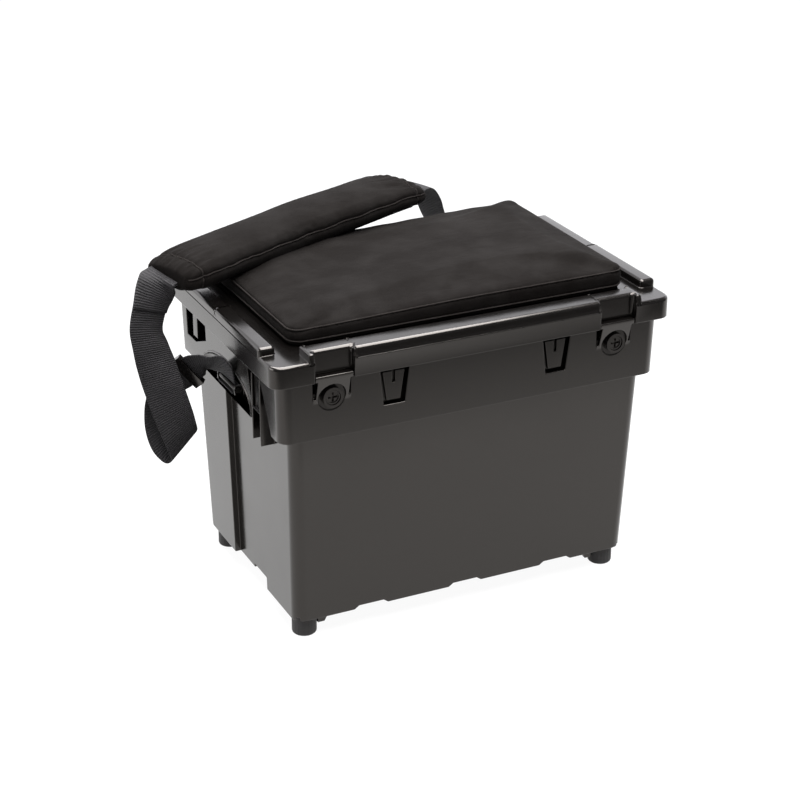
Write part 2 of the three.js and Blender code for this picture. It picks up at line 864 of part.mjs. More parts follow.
// One quarter-turn lock: bezel, turning barrel, bush, cam and the cam's screw
function makeLock(name, side) {
  const x = side * hinge.centre;
  const seat = -collarY + lug.recessDepth - fit;
  const front = seat - lock.bezelLength;
  const inner = lock.bezelRadius - lock.bezelWall;
  const place = [x, lockZ];
  const bezelRing = cut(rod("y", lock.bezelRadius, [front, seat], place), [
    rod("y", inner, [front - overrun, seat + overrun], place),
  ]);
  addPiece(`lock_bezel_${name}`, bezelRing, lockPlastic);

  const bushFront = -collarInY + half(collar.draft) + fit;
  const flangeFront = -tubInY + fit;
  const flangeBack = flangeFront + lock.bushFlange;
  const bushBody = cut(
    join([
      rod("y", lock.bushRadius, [bushFront, flangeBack], place),
      rod("y", lock.bushFlangeRadius, [flangeFront, flangeBack], place),
    ]),
    [rod("y", lock.shaftRadius + fit, [bushFront - overrun, flangeBack + overrun], place)],
  );
  addPiece(`lock_bush_${name}`, bushBody, lockPlastic);

  const camFront = flangeBack + lock.camGap;
  const camBack = camFront + lock.camThickness;
  const headFront = seat - lock.headLength;
  const square = half(lock.tenon);
  const shaft = join([
    rod("y", inner - lock.headGap, [headFront, seat], place),
    rod("y", lock.shaftRadius, [seat - fit, camFront - fit], place),
    block([x - square, x + square], [camFront - lock.camThickness, camBack], [lockZ - square, lockZ + square]),
  ]);
  const slotY = [headFront - overrun, headFront + lock.rimDepth + lock.slotDepth];
  const thin = half(lock.slotWidth);
  const dished = rod("y", inner - lock.headGap - lock.rimWall, [headFront - overrun, headFront + lock.rimDepth], place);
  const slot = join([
    block([x - thin, x + thin], slotY, [lockZ - lock.slotReach, lockZ + lock.slotReach]),
    block([x - lock.slotReach, x + lock.slotReach], slotY, [lockZ - thin, lockZ + thin]),
  ]);
  const bore = rod("y", lock.screwRadius + fit, [camBack - lock.screwLength - fit, camBack + fit], place, steps.fine);
  addPiece(`lock_barrel_${name}`, cut(shaft, [dished, slot, bore]), lockPlastic);

  const hub = half(lock.camWidth);
  const arm = lockZ + lock.camLength;
  const camBody = cut(
    join([
      rod("y", lock.hubRadius, [camFront, camBack], place),
      block([x - hub, x + hub], [camFront, camBack], [lockZ, arm]),
    ]),
    [
      block(
        [x - square - fit, x + square + fit],
        [camFront - overrun, camBack + overrun],
        [lockZ - square - fit, lockZ + square + fit],
      ),
    ],
  );
  addPiece(`lock_cam_${name}`, camBody, steel);

  const headSeat = camBack + fit;
  const screw = join([
    rod("y", lock.screwRadius, [camBack - lock.screwLength, headSeat + fit], place, steps.fine),
    rod("y", lock.screwHead + fit, [headSeat, headSeat + lock.screwHeadHeight], place, steps.fine),
  ]);
  addPiece(`lock_cam_screw_${name}`, screw, steel);
}

// The steel bracket under the lid that the cam turns over, and its two screws
function makeKeeper(name, side) {
  const from = side * (hinge.centre + keeper.start);
  const to = from + side * keeper.width;
  const wallFace = notchWallY + notch.backWall;
  const plateFront = wallFace + fit;
  const plateBack = plateFront + keeper.plate;
  const shelfTop = lockZ - half(lock.camWidth) - keeper.belowCam;
  const top = deckLow - keeper.topGap;
  const screwX = half(from + to);
  const screwAt = [top - keeper.screwDrop, top - keeper.screwDrop - keeper.screwSpacing];
  const holes = screwAt.map((z) =>
    rod("y", keeper.screwRadius + fit, [plateFront - overrun, plateBack + overrun], [screwX, z], steps.fine),
  );
  const bracket = cut(
    join([
      block([from, to], [plateFront, plateBack], [shelfTop - keeper.plate, top]),
      block([from, to], [plateFront, plateBack + keeper.shelf], [shelfTop - keeper.plate, shelfTop]),
    ]),
    holes,
  );
  addPiece(`lock_keeper_${name}`, bracket, steel);
  screwAt.forEach((z, index) => {
    const head = plateBack + fit;
    const screw = join([
      rod("y", keeper.screwRadius, [wallFace - keeper.screwLength, head + fit], [screwX, z], steps.fine),
      rod("y", keeper.screwHead, [head, head + keeper.screwHeadHeight], [screwX, z], steps.fine),
    ]);
    addPiece(`keeper_screw_${name}_${index + 1}`, screw, steel);
  });
}

// Where the keeper's screws bite into the lid's notch wall
function keeperPilots(side) {
  const from = side * (hinge.centre + keeper.start);
  const x = half(from + from + side * keeper.width);
  const wallFace = notchWallY + notch.backWall;
  const top = deckLow - keeper.topGap - keeper.screwDrop;
  return [top, top - keeper.screwSpacing].map((z) =>
    rod("y", keeper.screwRadius + fit, [wallFace - keeper.screwLength - fit, wallFace + fit], [x, z], steps.fine),
  );
}

// The rims that stand above the lid's deck
function lidRims() {
  const low = lid.deckHeight - lid.wall + fit;
  const edge = raised.edge;
  const front = -lidY;
  const inner = -lidY + raised.frontDepth;
  const notchNear = notch.centre - half(notch.width);
  const notchFar = notch.centre + half(notch.width);
  const end = half(raised.frontLength);
  const rims = [
    roundedSlab([-notchNear, notchNear], [front, inner], [low, rimTop], raised.corner, edge),
    roundedSlab([-half(raised.rearLength), half(raised.rearLength)], [lidY - raised.rearDepth, lidY], [low, rimTop], raised.corner, edge),
  ];
  for (const side of sides) {
    rims.push(
      roundedSlab([side * notchFar, side * end], [front, inner], [low, rimTop], half(raised.corner), half(raised.edge)),
      roundedSlab([side * (notchNear - edge), side * end], [notchFaceY, inner], [low, rimTop], raised.corner, edge),
      roundedSlab(
        [side * (lidX - raised.endWidth), side * lidX],
        [-half(raised.endLength), half(raised.endLength) - raised.stepLength],
        [low, rimTop],
        raised.corner,
        edge,
      ),
      roundedSlab(
        [side * (lidX - raised.endWidth), side * lidX],
        [-half(raised.endLength) + raised.corner * 2, half(raised.endLength)],
        [low, rimTop - raised.stepDrop],
        raised.corner,
        edge,
      ),
    );
  }
  return rims;
}

// The hollows under the rims, crossed by ribs at the deck's own underside
function rimHollows() {
  const low = deckLow - fit;
  const high = rimTop - lid.wall;
  const notchNear = notch.centre - half(notch.width);
  const hollows = [];
  const wall = lid.wall;
  const between = (from, to) => {
    const cells = [];
    for (let x = from; x < to - raised.ribWall; x += raised.ribSpacing) {
      cells.push([x, Math.min(x + raised.ribSpacing - raised.ribWall, to)]);
    }
    return cells;
  };
  for (const cell of between(-notchNear + wall, notchNear - wall)) {
    hollows.push(block(cell, [-lidY + wall, -lidY + raised.frontDepth - wall], [low, high]));
  }
  for (const cell of between(-half(raised.rearLength) + wall, half(raised.rearLength) - wall)) {
    hollows.push(block(cell, [lidY - raised.rearDepth + wall, lidY - wall], [low, high]));
  }
  for (const side of sides) {
    const x = [side * (lidX - raised.endWidth + wall), side * (lidX - wall)];
    for (const cell of between(-half(raised.endLength) + wall, half(raised.endLength) - wall)) {
      hollows.push(block(x, cell, [low, high - raised.stepDrop]));
    }
  }
  return hollows;
}

function makeLid() {
  const outer = [];
  outer.push(roundedRing(lidX, lidY, lid.corner, lidLow));
  for (let i = 0; i <= steps.edge; i += 1) {
    const angle = ((i / steps.edge) * Math.PI) / 2;
    const inset = lid.edge * (1 - Math.cos(angle));
    const z = lid.deckHeight - lid.edge + lid.edge * Math.sin(angle);
    outer.push(roundedRing(lidX - inset, lidY - inset, lid.corner - inset, z));
  }
  const shell = solid(loft(outer));
  const radius = lid.corner - lid.wall;
  const hollow = solid(
    loft([
      roundedRing(lidX - lid.wall, lidY - lid.wall, radius, lidLow - overrun),
      roundedRing(lidX - lid.wall, lidY - lid.wall, radius, deckLow),
    ]),
  );
  const added = [];
  const cheekWall = lid.wall;
  const lipX = tubInX - lid.lipGap;
  const lipY = tubInY - lid.lipGap;
  const lipRing = (inset) =>
    roundedRing(lipX - inset, lipY - inset, tub.corner - tub.wall - lid.lipGap - inset, deckLow - lid.lipDepth);
  const lipTop = (inset) =>
    roundedRing(lipX - inset, lipY - inset, tub.corner - tub.wall - lid.lipGap - inset, deckLow + fit);
  let lip = solid(loft([lipRing(0), lipTop(0)]));
  const lipInner = loft([lipRing(lid.lipWall), lipTop(lid.lipWall)].map((ring, i) =>
    ring.map((point) => point.clone().setZ(point.z + (i ? overrun : -overrun))),
  ));
  lip = lip.subtract(solid(lipInner));
  lip = lip.subtract(
    block([-lipX - overrun, lipX + overrun], [lipY - tub.corner * 2, lipY + overrun], [lidLow, rimTop]),
  );
  added.push(lip);
  const ribZ = [deckLow - lid.ribDepth, deckLow + half(lid.wall)];
  const crossRibZ = [deckLow - lid.crossRibDepth, deckLow + half(lid.wall)];
  const ribY = [notchWallY + notch.backWall + keeper.shelf + overrun, lipY - tub.corner];
  const ribX = lipX - lid.lipWall - fit;
  for (const x of spread(lid.ribSpacing, ribX)) {
    added.push(block([x - half(lid.ribWall), x + half(lid.ribWall)], ribY, ribZ));
  }
  for (const y of spread(lid.crossRibSpacing, ribY[1])) {
    added.push(block([-ribX, ribX], [y - half(lid.ribWall), y + half(lid.ribWall)], crossRibZ));
  }
  for (const side of sides) {
    const near = side * (notch.centre - half(notch.width));
    const far = side * (notch.centre + half(notch.width));
    const wallZ = [lidLow, deckLow + half(lid.wall)];
    added.push(
      block([near - side * cheekWall, far + side * cheekWall], [notchWallY, notchWallY + notch.backWall], wallZ),
      block([near - side * cheekWall, far], [notchFaceY, notchWallY + fit], [notchSill, deckLow + half(lid.wall)]),
      block([near - side * cheekWall, near], [-lidY + fit, notchWallY + fit], wallZ),
      block([far, far + side * notch.cheek], [-lidY + fit, notchWallY + fit], wallZ),
    );
    const earFrom = hinge.centre - half(hinge.knuckleWidth) - hinge.earGap - hinge.earWidth;
    const earTo = hinge.centre + half(hinge.knuckleWidth) + hinge.earGap;
    for (const start of [earFrom, earTo]) {
      const span = [side * start, side * (start + hinge.earWidth)];
      added.push(rod("x", hinge.knuckleRadius, span, [pinY, pinZ]));
      const arm = [
        [pinY - hinge.knuckleRadius, pinZ],
        [pinY + hinge.knuckleRadius, pinZ],
        [pinY + hinge.knuckleRadius, lidLow + half(hinge.earRise) / 2],
        [lidY - half(lid.wall), pinZ + hinge.earRise],
        [lidY - half(lid.wall), lidLow + fit],
        [pinY - hinge.knuckleRadius, lidLow - fit],
      ];
      added.push(prism("x", arm, span));
    }
  }
  const body = join([shell.subtract(hollow), ...lidRims(), ...added]);
  const cuts = rimHollows();
  for (const side of sides) {
    const near = side * (notch.centre - half(notch.width));
    const far = side * (notch.centre + half(notch.width));
    const pocket = [near + side * notch.faceWall, far - side * notch.faceWall];
    cuts.push(
      block([near, far], [-lidY - overrun, notchFaceY], [lidLow - overrun, rimTop + overrun]),
      block([near, far], [-lidY - overrun, notchWallY], [lidLow - overrun, notchSill]),
      block(pocket, [notchFaceY + notch.faceWall, notchWallY], [notchSill - overrun, deckLow]),
    );
    cuts.push(...keeperPilots(side));
    const earFrom = hinge.centre - half(hinge.knuckleWidth) - hinge.earGap - hinge.earWidth;
    const earTo = hinge.centre + half(hinge.knuckleWidth) + hinge.earGap + hinge.earWidth;
    cuts.push(
      rod("x", hinge.pinRadius + fit, [side * (earFrom - overrun), side * (earTo + overrun)], [pinY, pinZ]),
    );
  }
  for (const [x, y] of cushionScrewPlaces()) {
    cuts.push(rod("z", cushion.screwRadius + fit, [deckLow - overrun, lid.deckHeight + overrun], [x, y], steps.fine));
  }
  addPiece("lid", cut(body, cuts), boxPlastic);
}

function makeHingePins() {
  const inner = hinge.centre - half(hinge.knuckleWidth) - hinge.earGap - hinge.earWidth;
  const outer = hinge.centre + half(hinge.knuckleWidth) + hinge.earGap + hinge.earWidth;
  for (const [name, side] of [["left", -1], ["right", 1]]) {
    const place = [pinY, pinZ];
    const pin = join([
      rod("x", hinge.pinRadius, [side * (inner - hinge.tail), side * (outer + fit + fit)], place, steps.fine),
      rod("x", hinge.headRadius, [side * (outer + fit), side * (outer + fit + hinge.headWidth)], place, steps.fine),
    ]);
    addPiece(`hinge_pin_${name}`, pin, steel);
    const clip = cut(
      rod("x", hinge.clipRadius, [side * (inner - fit), side * (inner - fit - hinge.clipWidth)], place, steps.fine),
      [
        rod("x", hinge.pinRadius + fit, [side * (inner + overrun), side * (inner - overrun)], place, steps.fine),
        block(
          [side * (inner + overrun), side * (inner - overrun)],
          [pinY, pinY + overrun],
          [pinZ - half(hinge.pinRadius), pinZ + half(hinge.pinRadius)],
        ),
      ],
    );
    addPiece(`hinge_clip_${name}`, clip, steel);
  }
}

// The four screws that hold the seat to the lid, as places on the deck
function cushionScrewPlaces() {
  const places = [];
  for (const sx of sides) {
    for (const sy of sides) {
      places.push([
        sx * (half(cushion.length) - cushion.screwInset),
        cushion.centreY + sy * (half(cushion.depth) - cushion.screwInset),
      ]);
    }
  }
  return places;
}

// One level of the cushion: a rounded rectangle whose sides draw in between its corners
function cushionRing(inset, z, drawIn) {
  const halfX = half(cushion.length) - inset;
  const halfY = half(cushion.depth) - inset;
  const perSide = steps.cushionSide;
  const radius = Math.max(cushion.corner - inset, cushion.corner / 4);
  const ring = [];
  for (let quarter = 0; quarter < 4; quarter += 1) {
    const sx = quarter === 0 || quarter === 3 ? 1 : -1;
    const sy = quarter < 2 ? 1 : -1;
    for (let i = 0; i <= steps.corner; i += 1) {
      const angle = ((quarter + i / steps.corner) * Math.PI) / 2;
      const x = sx * (halfX - radius) + radius * Math.cos(angle);
      ring.push([x, sy * (halfY - radius) + radius * Math.sin(angle)]);
    }
    const from = ring[ring.length - 1];
    const alongX = quarter % 2 === 0;
    const to = alongX ? [-from[0], from[1]] : [from[0], -from[1]];
    for (let i = 1; i < perSide; i += 1) {
      const share = i / perSide;
      ring.push([from[0] + (to[0] - from[0]) * share, from[1] + (to[1] - from[1]) * share]);
    }
  }
  return ring.map(([x, y]) => {
    const pullY = drawIn * Math.cos((x / halfX) * half(Math.PI)) * (y / halfY);
    const pullX = drawIn * Math.cos((y / halfY) * half(Math.PI)) * (x / halfX);
    return new THREE.Vector3(x - pullX, cushion.centreY + y - pullY, z);
  });
}

function makeCushion() {
  const base = lid.deckHeight + fit;
  const seam = lid.deckHeight + cushion.seamHeight;
  const rings = [
    cushionRing(cushion.baseInset, base, 0),
    cushionRing(0, base + cushion.baseInset, 0),
    cushionRing(-cushion.bulge / 2, half(base + seam), cushion.drawIn / 2),
    cushionRing(0, seam - cushion.bulge, cushion.drawIn),
  ];
  const crownShares = [
    [0, 0],
    [0.04, 0.3],
    [0.12, 0.58],
    [0.3, 0.84],
    [0.6, 0.97],
    [0.9, 1],
  ];
  for (const [inShare, upShare] of crownShares) {
    const inset = inShare * (half(cushion.depth) - cushion.corner);
    rings.push(cushionRing(inset, seam + upShare * cushion.crown, cushion.drawIn));
  }
  const boardTop = base + cushion.board;
  const boardX = half(cushion.length) - cushion.boardInset;
  const boardY = half(cushion.depth) - cushion.boardInset;
  const pocket = block(
    [-boardX - fit, boardX + fit],
    [cushion.centreY - boardY - fit, cushion.centreY + boardY + fit],
    [base - overrun, boardTop + fit],
  );
  addPiece("cushion", solid(loft(rings)).subtract(pocket), cloth);

  const places = cushionScrewPlaces();
  const boardHoles = places.map((place) =>
    rod("z", cushion.screwRadius + fit, [base - overrun, boardTop - fit], place, steps.fine),
  );
  const board = block([-boardX, boardX], [cushion.centreY - boardY, cushion.centreY + boardY], [base, boardTop]);
  addPiece("cushion_board", cut(board, boardHoles), ply);
  places.forEach((place, index) => {
    const screw = join([
      rod("z", cushion.screwRadius, [deckLow - fit - fit, boardTop - fit - fit], place, steps.fine),
      rod("z", cushion.screwHead, [deckLow - fit - cushion.screwHeadHeight, deckLow - fit], place, steps.fine),
    ]);
    addPiece(`cushion_screw_${index + 1}`, screw, steel);
  });
}

// The padded sleeve of the shoulder strap: a long pillow, gathered at both ends
function makePad() {
  const turn = THREE.MathUtils.degToRad(pad.turn);
  const along = new THREE.Vector3(Math.cos(turn), Math.sin(turn), 0);
  const across = new THREE.Vector3(-Math.sin(turn), Math.cos(turn), 0);
  const up = new THREE.Vector3(0, 0, 1);
  const lengths = steps.padAlong;
  const around = steps.padAround;
  const rings = [];
  for (let i = 0; i <= lengths; i += 1) {
    const share = half(1 - Math.cos((i / lengths) * Math.PI));
    const s = (share - half(1)) * pad.length;
    const toEnd = Math.min(share, 1 - share) * pad.length;
    const swell = Math.min(1, toEnd / pad.gather);
    const rounding = Math.sqrt(1 - (1 - swell) ** 2);
    const wide = half(pad.width) * (pad.endWidthShare + (1 - pad.endWidthShare) * rounding);
    const thick = half(pad.thickness) * (pad.endThicknessShare + (1 - pad.endThicknessShare) * rounding);
    const bow = pad.arch * Math.cos((s / pad.length) * Math.PI);
    const centre = new THREE.Vector3(pad.centreX, pad.centreY, pad.height + bow)
      .addScaledVector(along, s)
      .addScaledVector(up, (2 * s * pad.rise) / pad.length);
    const ring = [];
    for (let k = 0; k < around; k += 1) {
      const angle = (k / around) * 2 * Math.PI;
      const c = Math.cos(angle);
      const d = Math.sin(angle);
      const power = 2 / pad.roundPower;
      const u = -Math.sign(c) * Math.abs(c) ** power * wide;
      const v = Math.sign(d) * Math.abs(d) ** power * thick;
      ring.push(centre.clone().addScaledVector(across, -u).addScaledVector(up, v));
    }
    rings.push(ring);
  }
  addPiece("shoulder_pad", solid(loft(rings)), cloth);
}

// Two places where a band runs straight out of one end of the pad
function padTip(end) {
  const turn = THREE.MathUtils.degToRad(pad.turn);
  return [fit + fit, webbing.tail].map((out) => {
    const s = end * (half(pad.length) + out);
    const aside = end < 0 ? pad.tapeAside : 0;
    const x = pad.centreX + s * Math.cos(turn) - aside * Math.sin(turn);
    const y = pad.centreY + s * Math.sin(turn) + aside * Math.cos(turn);
    const z = pad.height + (2 * s * pad.rise) / pad.length;
    return [x, y, z, end * -Math.sin(turn), end * Math.cos(turn), 0, half(webbing.width)];
  });
}

// A flat band through stations of a middle point, a width direction and half its width
function band(stations) {
  const middles = stations.map(([x, y, z]) => new THREE.Vector3(x, y, z));
  const path = new THREE.CatmullRomCurve3(middles, false, "centripetal");
  const rings = [];
  const spans = stations.length - 1;
  const count = spans * steps.ribbon;
  for (let i = 0; i <= count; i += 1) {
    const share = i / count;
    const at = Math.min(Math.floor(share * spans), spans - 1);
    const part = share * spans - at;
    const [wideA, wideB] = [stations[at], stations[at + 1]].map(([, , , wx, wy, wz]) =>
      new THREE.Vector3(wx, wy, wz).normalize(),
    );
    const reach = stations[at][6] * (1 - part) + stations[at + 1][6] * part;
    const forward = path.getTangent(share);
    const wide = wideA.lerp(wideB, part);
    wide.addScaledVector(forward, -wide.dot(forward)).normalize();
    const thick = forward.clone().cross(wide);
    const middle = path.getPoint(share);
    const ring = [
      [1, 1],
      [-1, 1],
      [-1, -1],
      [1, -1],
    ].map(([a, b]) =>
      middle
        .clone()
        .addScaledVector(wide, a * reach)
        .addScaledVector(thick, b * half(webbing.thickness)),
    );
    rings.push(ring);
  }
  return solid(loft(rings));
}

// The loop that a band makes round a strap bar, coming in over its top and going back below
function barLoop(side, wide) {
  const reach = bar.radius + fit + half(webbing.thickness) + fit;
  const loop = [];
  const turns = steps.corner;
  for (let i = 0; i <= turns; i += 1) {
    const angle = Math.PI / 2 - (i / turns) * Math.PI;
    const x = side * (barX - reach * Math.cos(angle));
    loop.push([x, bar.centreY, barZ + reach * Math.sin(angle), 0, 1, 0, wide]);
  }
  loop.push([side * (barX + webbing.tail / 2), bar.centreY, barZ - reach, 0, 1, 0, wide]);
  return loop;
}

// Rows measured from the lid's end (-1 left, 1 right) and its top, moved to where those are.
function fromLid(side, rows) {
  const end = side * half(lid.length);
  return rows.map(([x, y, z, ...rest]) => [end + x, y, lid.deckHeight + z, ...rest]);
}

// The route of the left band, from the pad's end down, up again and into the collar. Each row is
// a middle point, the direction of the band's width there and half its width.
const leftRoute = fromLid(-1, [
  [-50, 49, 23.3, 0.72, -0.62, -0.3, 22],
  [-58.4, 46, 4.8, 0.74, -0.66, -0.1, 22],
  [-64.9, 43, -20, 0.86, -0.5, 0, 22],
  [-62.3, 40, -37.1, 0.95, -0.3, 0, 22],
  [-56.8, 37, -64.4, 0.99, -0.05, 0.1, 22],
  [-51, 33, -90.4, 0.91, -0.3, 0.27, 22],
  [-43.9, 29, -118.2, 0.88, -0.21, 0.42, 22],
  [-36.1, 27, -146, 0.78, -0.06, 0.62, 22],
  [-32.2, 31, -161.7, 0.71, 0.01, 0.7, 22],
  [-37.5, 38, -166.6, 0.69, 0.03, 0.72, 22],
  [-46.1, 45, -156.6, 0.78, -0.06, 0.62, 22],
  [-49, 51, -138.7, 0.87, -0.19, 0.46, 22],
  [-47, 55, -121.3, 0.98, -0.15, 0.15, 21],
  [-42, 56, -104.3, 0.85, -0.13, -0.5, 19],
  [-33, 52, -90.3, 0.6, -0.12, -0.79, 17],
  [-23.5, 44, -80.8, 0.42, -0.12, -0.9, 17],
  [-16.5, 37, -72.8, 0.42, -0.12, -0.9, 17],
  [-10.5, 29, -67, 0.35, 0.25, -0.9, 17],
  [-4, 19, -65.5, 0.2, 0.75, -0.62, 18],
  [2.5, 10, -67, 0.05, 1, -0.25, 20],
  [8.5, 5, -71, 0, 1, 0.05, 21],
]);

// The route of the right band, from the pad's end down behind the lid and round the corner
const rightRoute = fromLid(1, [
  [-136, 201, 41.7, -0.37, 0.93, 0, 22],
  [-123, 205, 25.7, -0.37, 0.93, 0, 22],
  [-118, 206, 10.7, -0.37, 0.93, 0, 22],
  [-113, 206, -4.3, -0.35, 0.93, 0.05, 22],
  [-100, 209, -34.3, -0.2, 0.9, 0.25, 22],
  [-80, 213, -60.3, 0.1, 0.6, 0.7, 22],
  [-52, 215, -82.3, 0.25, 0.2, 0.9, 22],
  [-18, 210, -100.3, 0.2, 0, 1, 22],
  [12, 190, -112.3, 0.1, 0, 1, 22],
  [33, 158, -118.3, 0, 0, 1, 22],
  [42, 122, -116.3, -0.1, 0, 1, 22],
  [39, 90, -106.3, -0.3, 0.1, 1, 21],
  [27, 54, -93.3, -0.4, 0.4, 0.9, 20],
  [12, 28, -80, -0.2, 0.8, 0.6, 19],
  [-1, 12, -72, 0, 1, 0.15, 20],
  [-9, 5, -73, 0, 1, 0, 21],
]);

// The moulded loop that both layers of the left band pass through
function makeSlider() {
  const rows = leftRoute.slice(...slider.ends);
  const [below, above] = rows.map((row) => new THREE.Vector3(...row));
  const wide = new THREE.Vector3(...rows[0].slice(3));
  const forward = above.clone().sub(below).normalize();
  wide.addScaledVector(forward, -wide.dot(forward)).normalize();
  const thick = forward.clone().cross(wide);
  const opening = half(webbing.thickness) + slider.slotGap;
  const low = opening + slider.barThickness;
  const frame = cut(
    block([-half(slider.length), half(slider.length)], [-low, low], [-half(slider.height), half(slider.height)]),
    [
      block(
        [-half(slider.webbingWidth) - slider.slotGap, half(slider.webbingWidth) + slider.slotGap],
        [-opening, opening],
        [-slider.height, slider.height],
      ),
    ],
  );
  const made = frame.getMesh();
  const geometry = new THREE.BufferGeometry();
  geometry.setAttribute("position", new THREE.BufferAttribute(made.vertProperties, 3));
  geometry.setIndex(new THREE.BufferAttribute(made.triVerts, 1));
  const middle = below.lerp(above, half(1));
  geometry.applyMatrix4(new THREE.Matrix4().makeBasis(wide, thick, forward).setPosition(middle));
  addPiece("strap_slider", solid(geometry), lockPlastic);
}

function makeStraps() {
  addPiece("strap_left", band([...padTip(-1), ...leftRoute, ...barLoop(-1, bar.webbing)]), tape);
  addPiece("strap_right", band([...padTip(1), ...rightRoute, ...barLoop(1, bar.webbing)]), tape);
  makeSlider();
  for (const [name, side] of [["left", -1], ["right", 1]]) {
    const y = [bar.centreY - half(bar.length) - fit, bar.centreY + half(bar.length) + fit];
    addPiece(`strap_bar_${name}`, rod("y", bar.radius, y, [side * barX, barZ]), steel);
  }
}

makeTub();
makeCollar();
makeFeet();
makeLock("left", -1);
makeLock("right", 1);
makeKeeper("left", -1);
makeKeeper("right", 1);
makeLid();
makeHingePins();
makeCushion();
makePad();
makeStraps();

// The origin is on the ground under the middle of the whole object
const extent = new THREE.Box3().setFromObject(seatBox);
const middle = extent.getCenter(new THREE.Vector3());
seatBox.position.set(-middle.x, -middle.y, -extent.min.z);

export default seatBox;
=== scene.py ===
"""A fishing seat box with a soft seat and a shoulder strap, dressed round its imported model."""

import math

import bmesh
import bpy
from bpy.props import FloatProperty, FloatVectorProperty, IntProperty, PointerProperty
from bpy.types import Operator, Panel, PropertyGroup
from mathutils import Matrix, Vector
from mathutils.bvhtree import BVHTree
from mathutils.kdtree import KDTree


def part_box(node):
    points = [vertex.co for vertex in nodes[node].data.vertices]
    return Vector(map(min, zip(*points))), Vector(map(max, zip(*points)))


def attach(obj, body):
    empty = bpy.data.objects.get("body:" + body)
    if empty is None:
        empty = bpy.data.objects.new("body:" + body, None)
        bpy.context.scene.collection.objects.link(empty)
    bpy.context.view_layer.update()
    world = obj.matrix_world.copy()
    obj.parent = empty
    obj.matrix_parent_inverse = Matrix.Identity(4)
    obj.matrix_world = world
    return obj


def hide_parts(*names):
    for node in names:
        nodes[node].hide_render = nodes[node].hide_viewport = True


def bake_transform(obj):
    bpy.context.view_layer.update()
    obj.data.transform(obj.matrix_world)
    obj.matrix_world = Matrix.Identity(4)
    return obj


bl_info = {
    "name": "Fishing seat box",
    "version": (1, 0, 0),
    "blender": (4, 5, 0),
    "location": "3D View > Sidebar > Seat box",
    "description": "Dresses a moulded tackle box with its seat, pad, webbing and finishes",
    "category": "Object",
}

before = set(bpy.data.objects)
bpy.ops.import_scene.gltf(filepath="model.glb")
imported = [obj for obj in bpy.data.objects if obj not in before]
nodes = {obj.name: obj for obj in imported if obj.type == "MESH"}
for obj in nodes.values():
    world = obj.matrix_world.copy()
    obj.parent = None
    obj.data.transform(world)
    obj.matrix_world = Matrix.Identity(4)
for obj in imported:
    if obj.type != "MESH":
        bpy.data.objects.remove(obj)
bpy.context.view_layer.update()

tub_low, tub_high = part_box("tub")
cushion_low, cushion_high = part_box("cushion")
pad_low, pad_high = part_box("shoulder_pad")
box_middle = Vector(((tub_low.x + tub_high.x) / 2, (tub_low.y + tub_high.y) / 2, 0))

MM = 0.001
DECK = cushion_low.z - 0.0003  # the flat top of the lid, under the seat's lower edge
NOTCH_MIDDLE = 0.1705  # from the lid's middle to the middle of each finger notch
NOTCH_REACH = 0.034  # half of the width that belongs to a notch
SECTION_POWER = 2.6  # of the pad's section: 2 is an ellipse, more is squarer
WARM_SHINE = (1.0, 0.93, 0.87, 1.0)
CAMERA_PLACE = (-918.5, -1870.8, 1142.2)  # as spot takes it
SENSOR_WIDTH = 36
ROOM_COLOUR = (0.985, 0.985, 1.03, 1)
ROOM_SHOWN = 1.1  # brightness of the room that the camera sees, white from 1 up
FLOOR_SHOWN = 1.15  # the same for the floor
FLOOR_SHARE = 0.82  # how much of the floor's look is its own brightness
FLOOR_FADE = (-0.9, -0.5)  # between these places the mirrored floor goes from dim to bright


def spot(x, y, z):
    """A place measured in millimetres from the ground under the tub's middle."""
    return box_middle + Vector((x, y, z)) * MM


def clamped(value):
    return max(0.0, min(1.0, value))


# Node trees


def new_node(tree, kind, place, **settings):
    made = tree.nodes.new(kind)
    made.location = place
    for name, value in settings.items():
        setattr(made, name, value)
    return made


def set_inputs(made, **values):
    for name, value in values.items():
        made.inputs[name.replace("_", " ")].default_value = value
    return made


def math_node(tree, operation, place, first, second=None, third=None):
    made = new_node(tree, "ShaderNodeMath", place, operation=operation)
    for index, value in enumerate((first, second, third)):
        if value is None:
            continue
        if isinstance(value, (int, float)):
            made.inputs[index].default_value = value
        else:
            tree.links.new(value, made.inputs[index])
    return made.outputs[0]


def effect_group(name, inputs, outputs):
    """An empty shader group with float inputs, given as (name, value), and its outputs."""
    group = bpy.data.node_groups.new(name, "ShaderNodeTree")
    group.interface.new_socket("Vector", in_out="INPUT", socket_type="NodeSocketVector")
    for label, value in inputs:
        socket = group.interface.new_socket(label, in_out="INPUT", socket_type="NodeSocketFloat")
        socket.default_value = value
    for label in outputs:
        group.interface.new_socket(label, in_out="OUTPUT", socket_type="NodeSocketFloat")
    start = new_node(group, "NodeGroupInput", (-900, 0))
    end = new_node(group, "NodeGroupOutput", (900, 0))
    return group, start.outputs, end.inputs


def place_group(tree, group, place, vector, **values):
    made = new_node(tree, "ShaderNodeGroup", place, node_tree=group)
    tree.links.new(vector, made.inputs["Vector"])
    return set_inputs(made, **values).outputs


def noise(tree, place, vector, scale, detail=3.0, roughness=0.5):
    made = new_node(tree, "ShaderNodeTexNoise", place)
    if isinstance(scale, (int, float)):
        made.inputs["Scale"].default_value = scale
    else:
        tree.links.new(scale, made.inputs["Scale"])
    set_inputs(made, Detail=detail, Roughness=roughness)
    tree.links.new(vector, made.inputs["Vector"])
    return made.outputs["Fac"]


def mapped(tree, place, value, low, high, to_low, to_high):
    made = new_node(tree, "ShaderNodeMapRange", place)
    set_inputs(made, From_Min=low, From_Max=high, To_Min=to_low, To_Max=to_high)
    tree.links.new(value, made.inputs["Value"])
    return made.outputs[0]


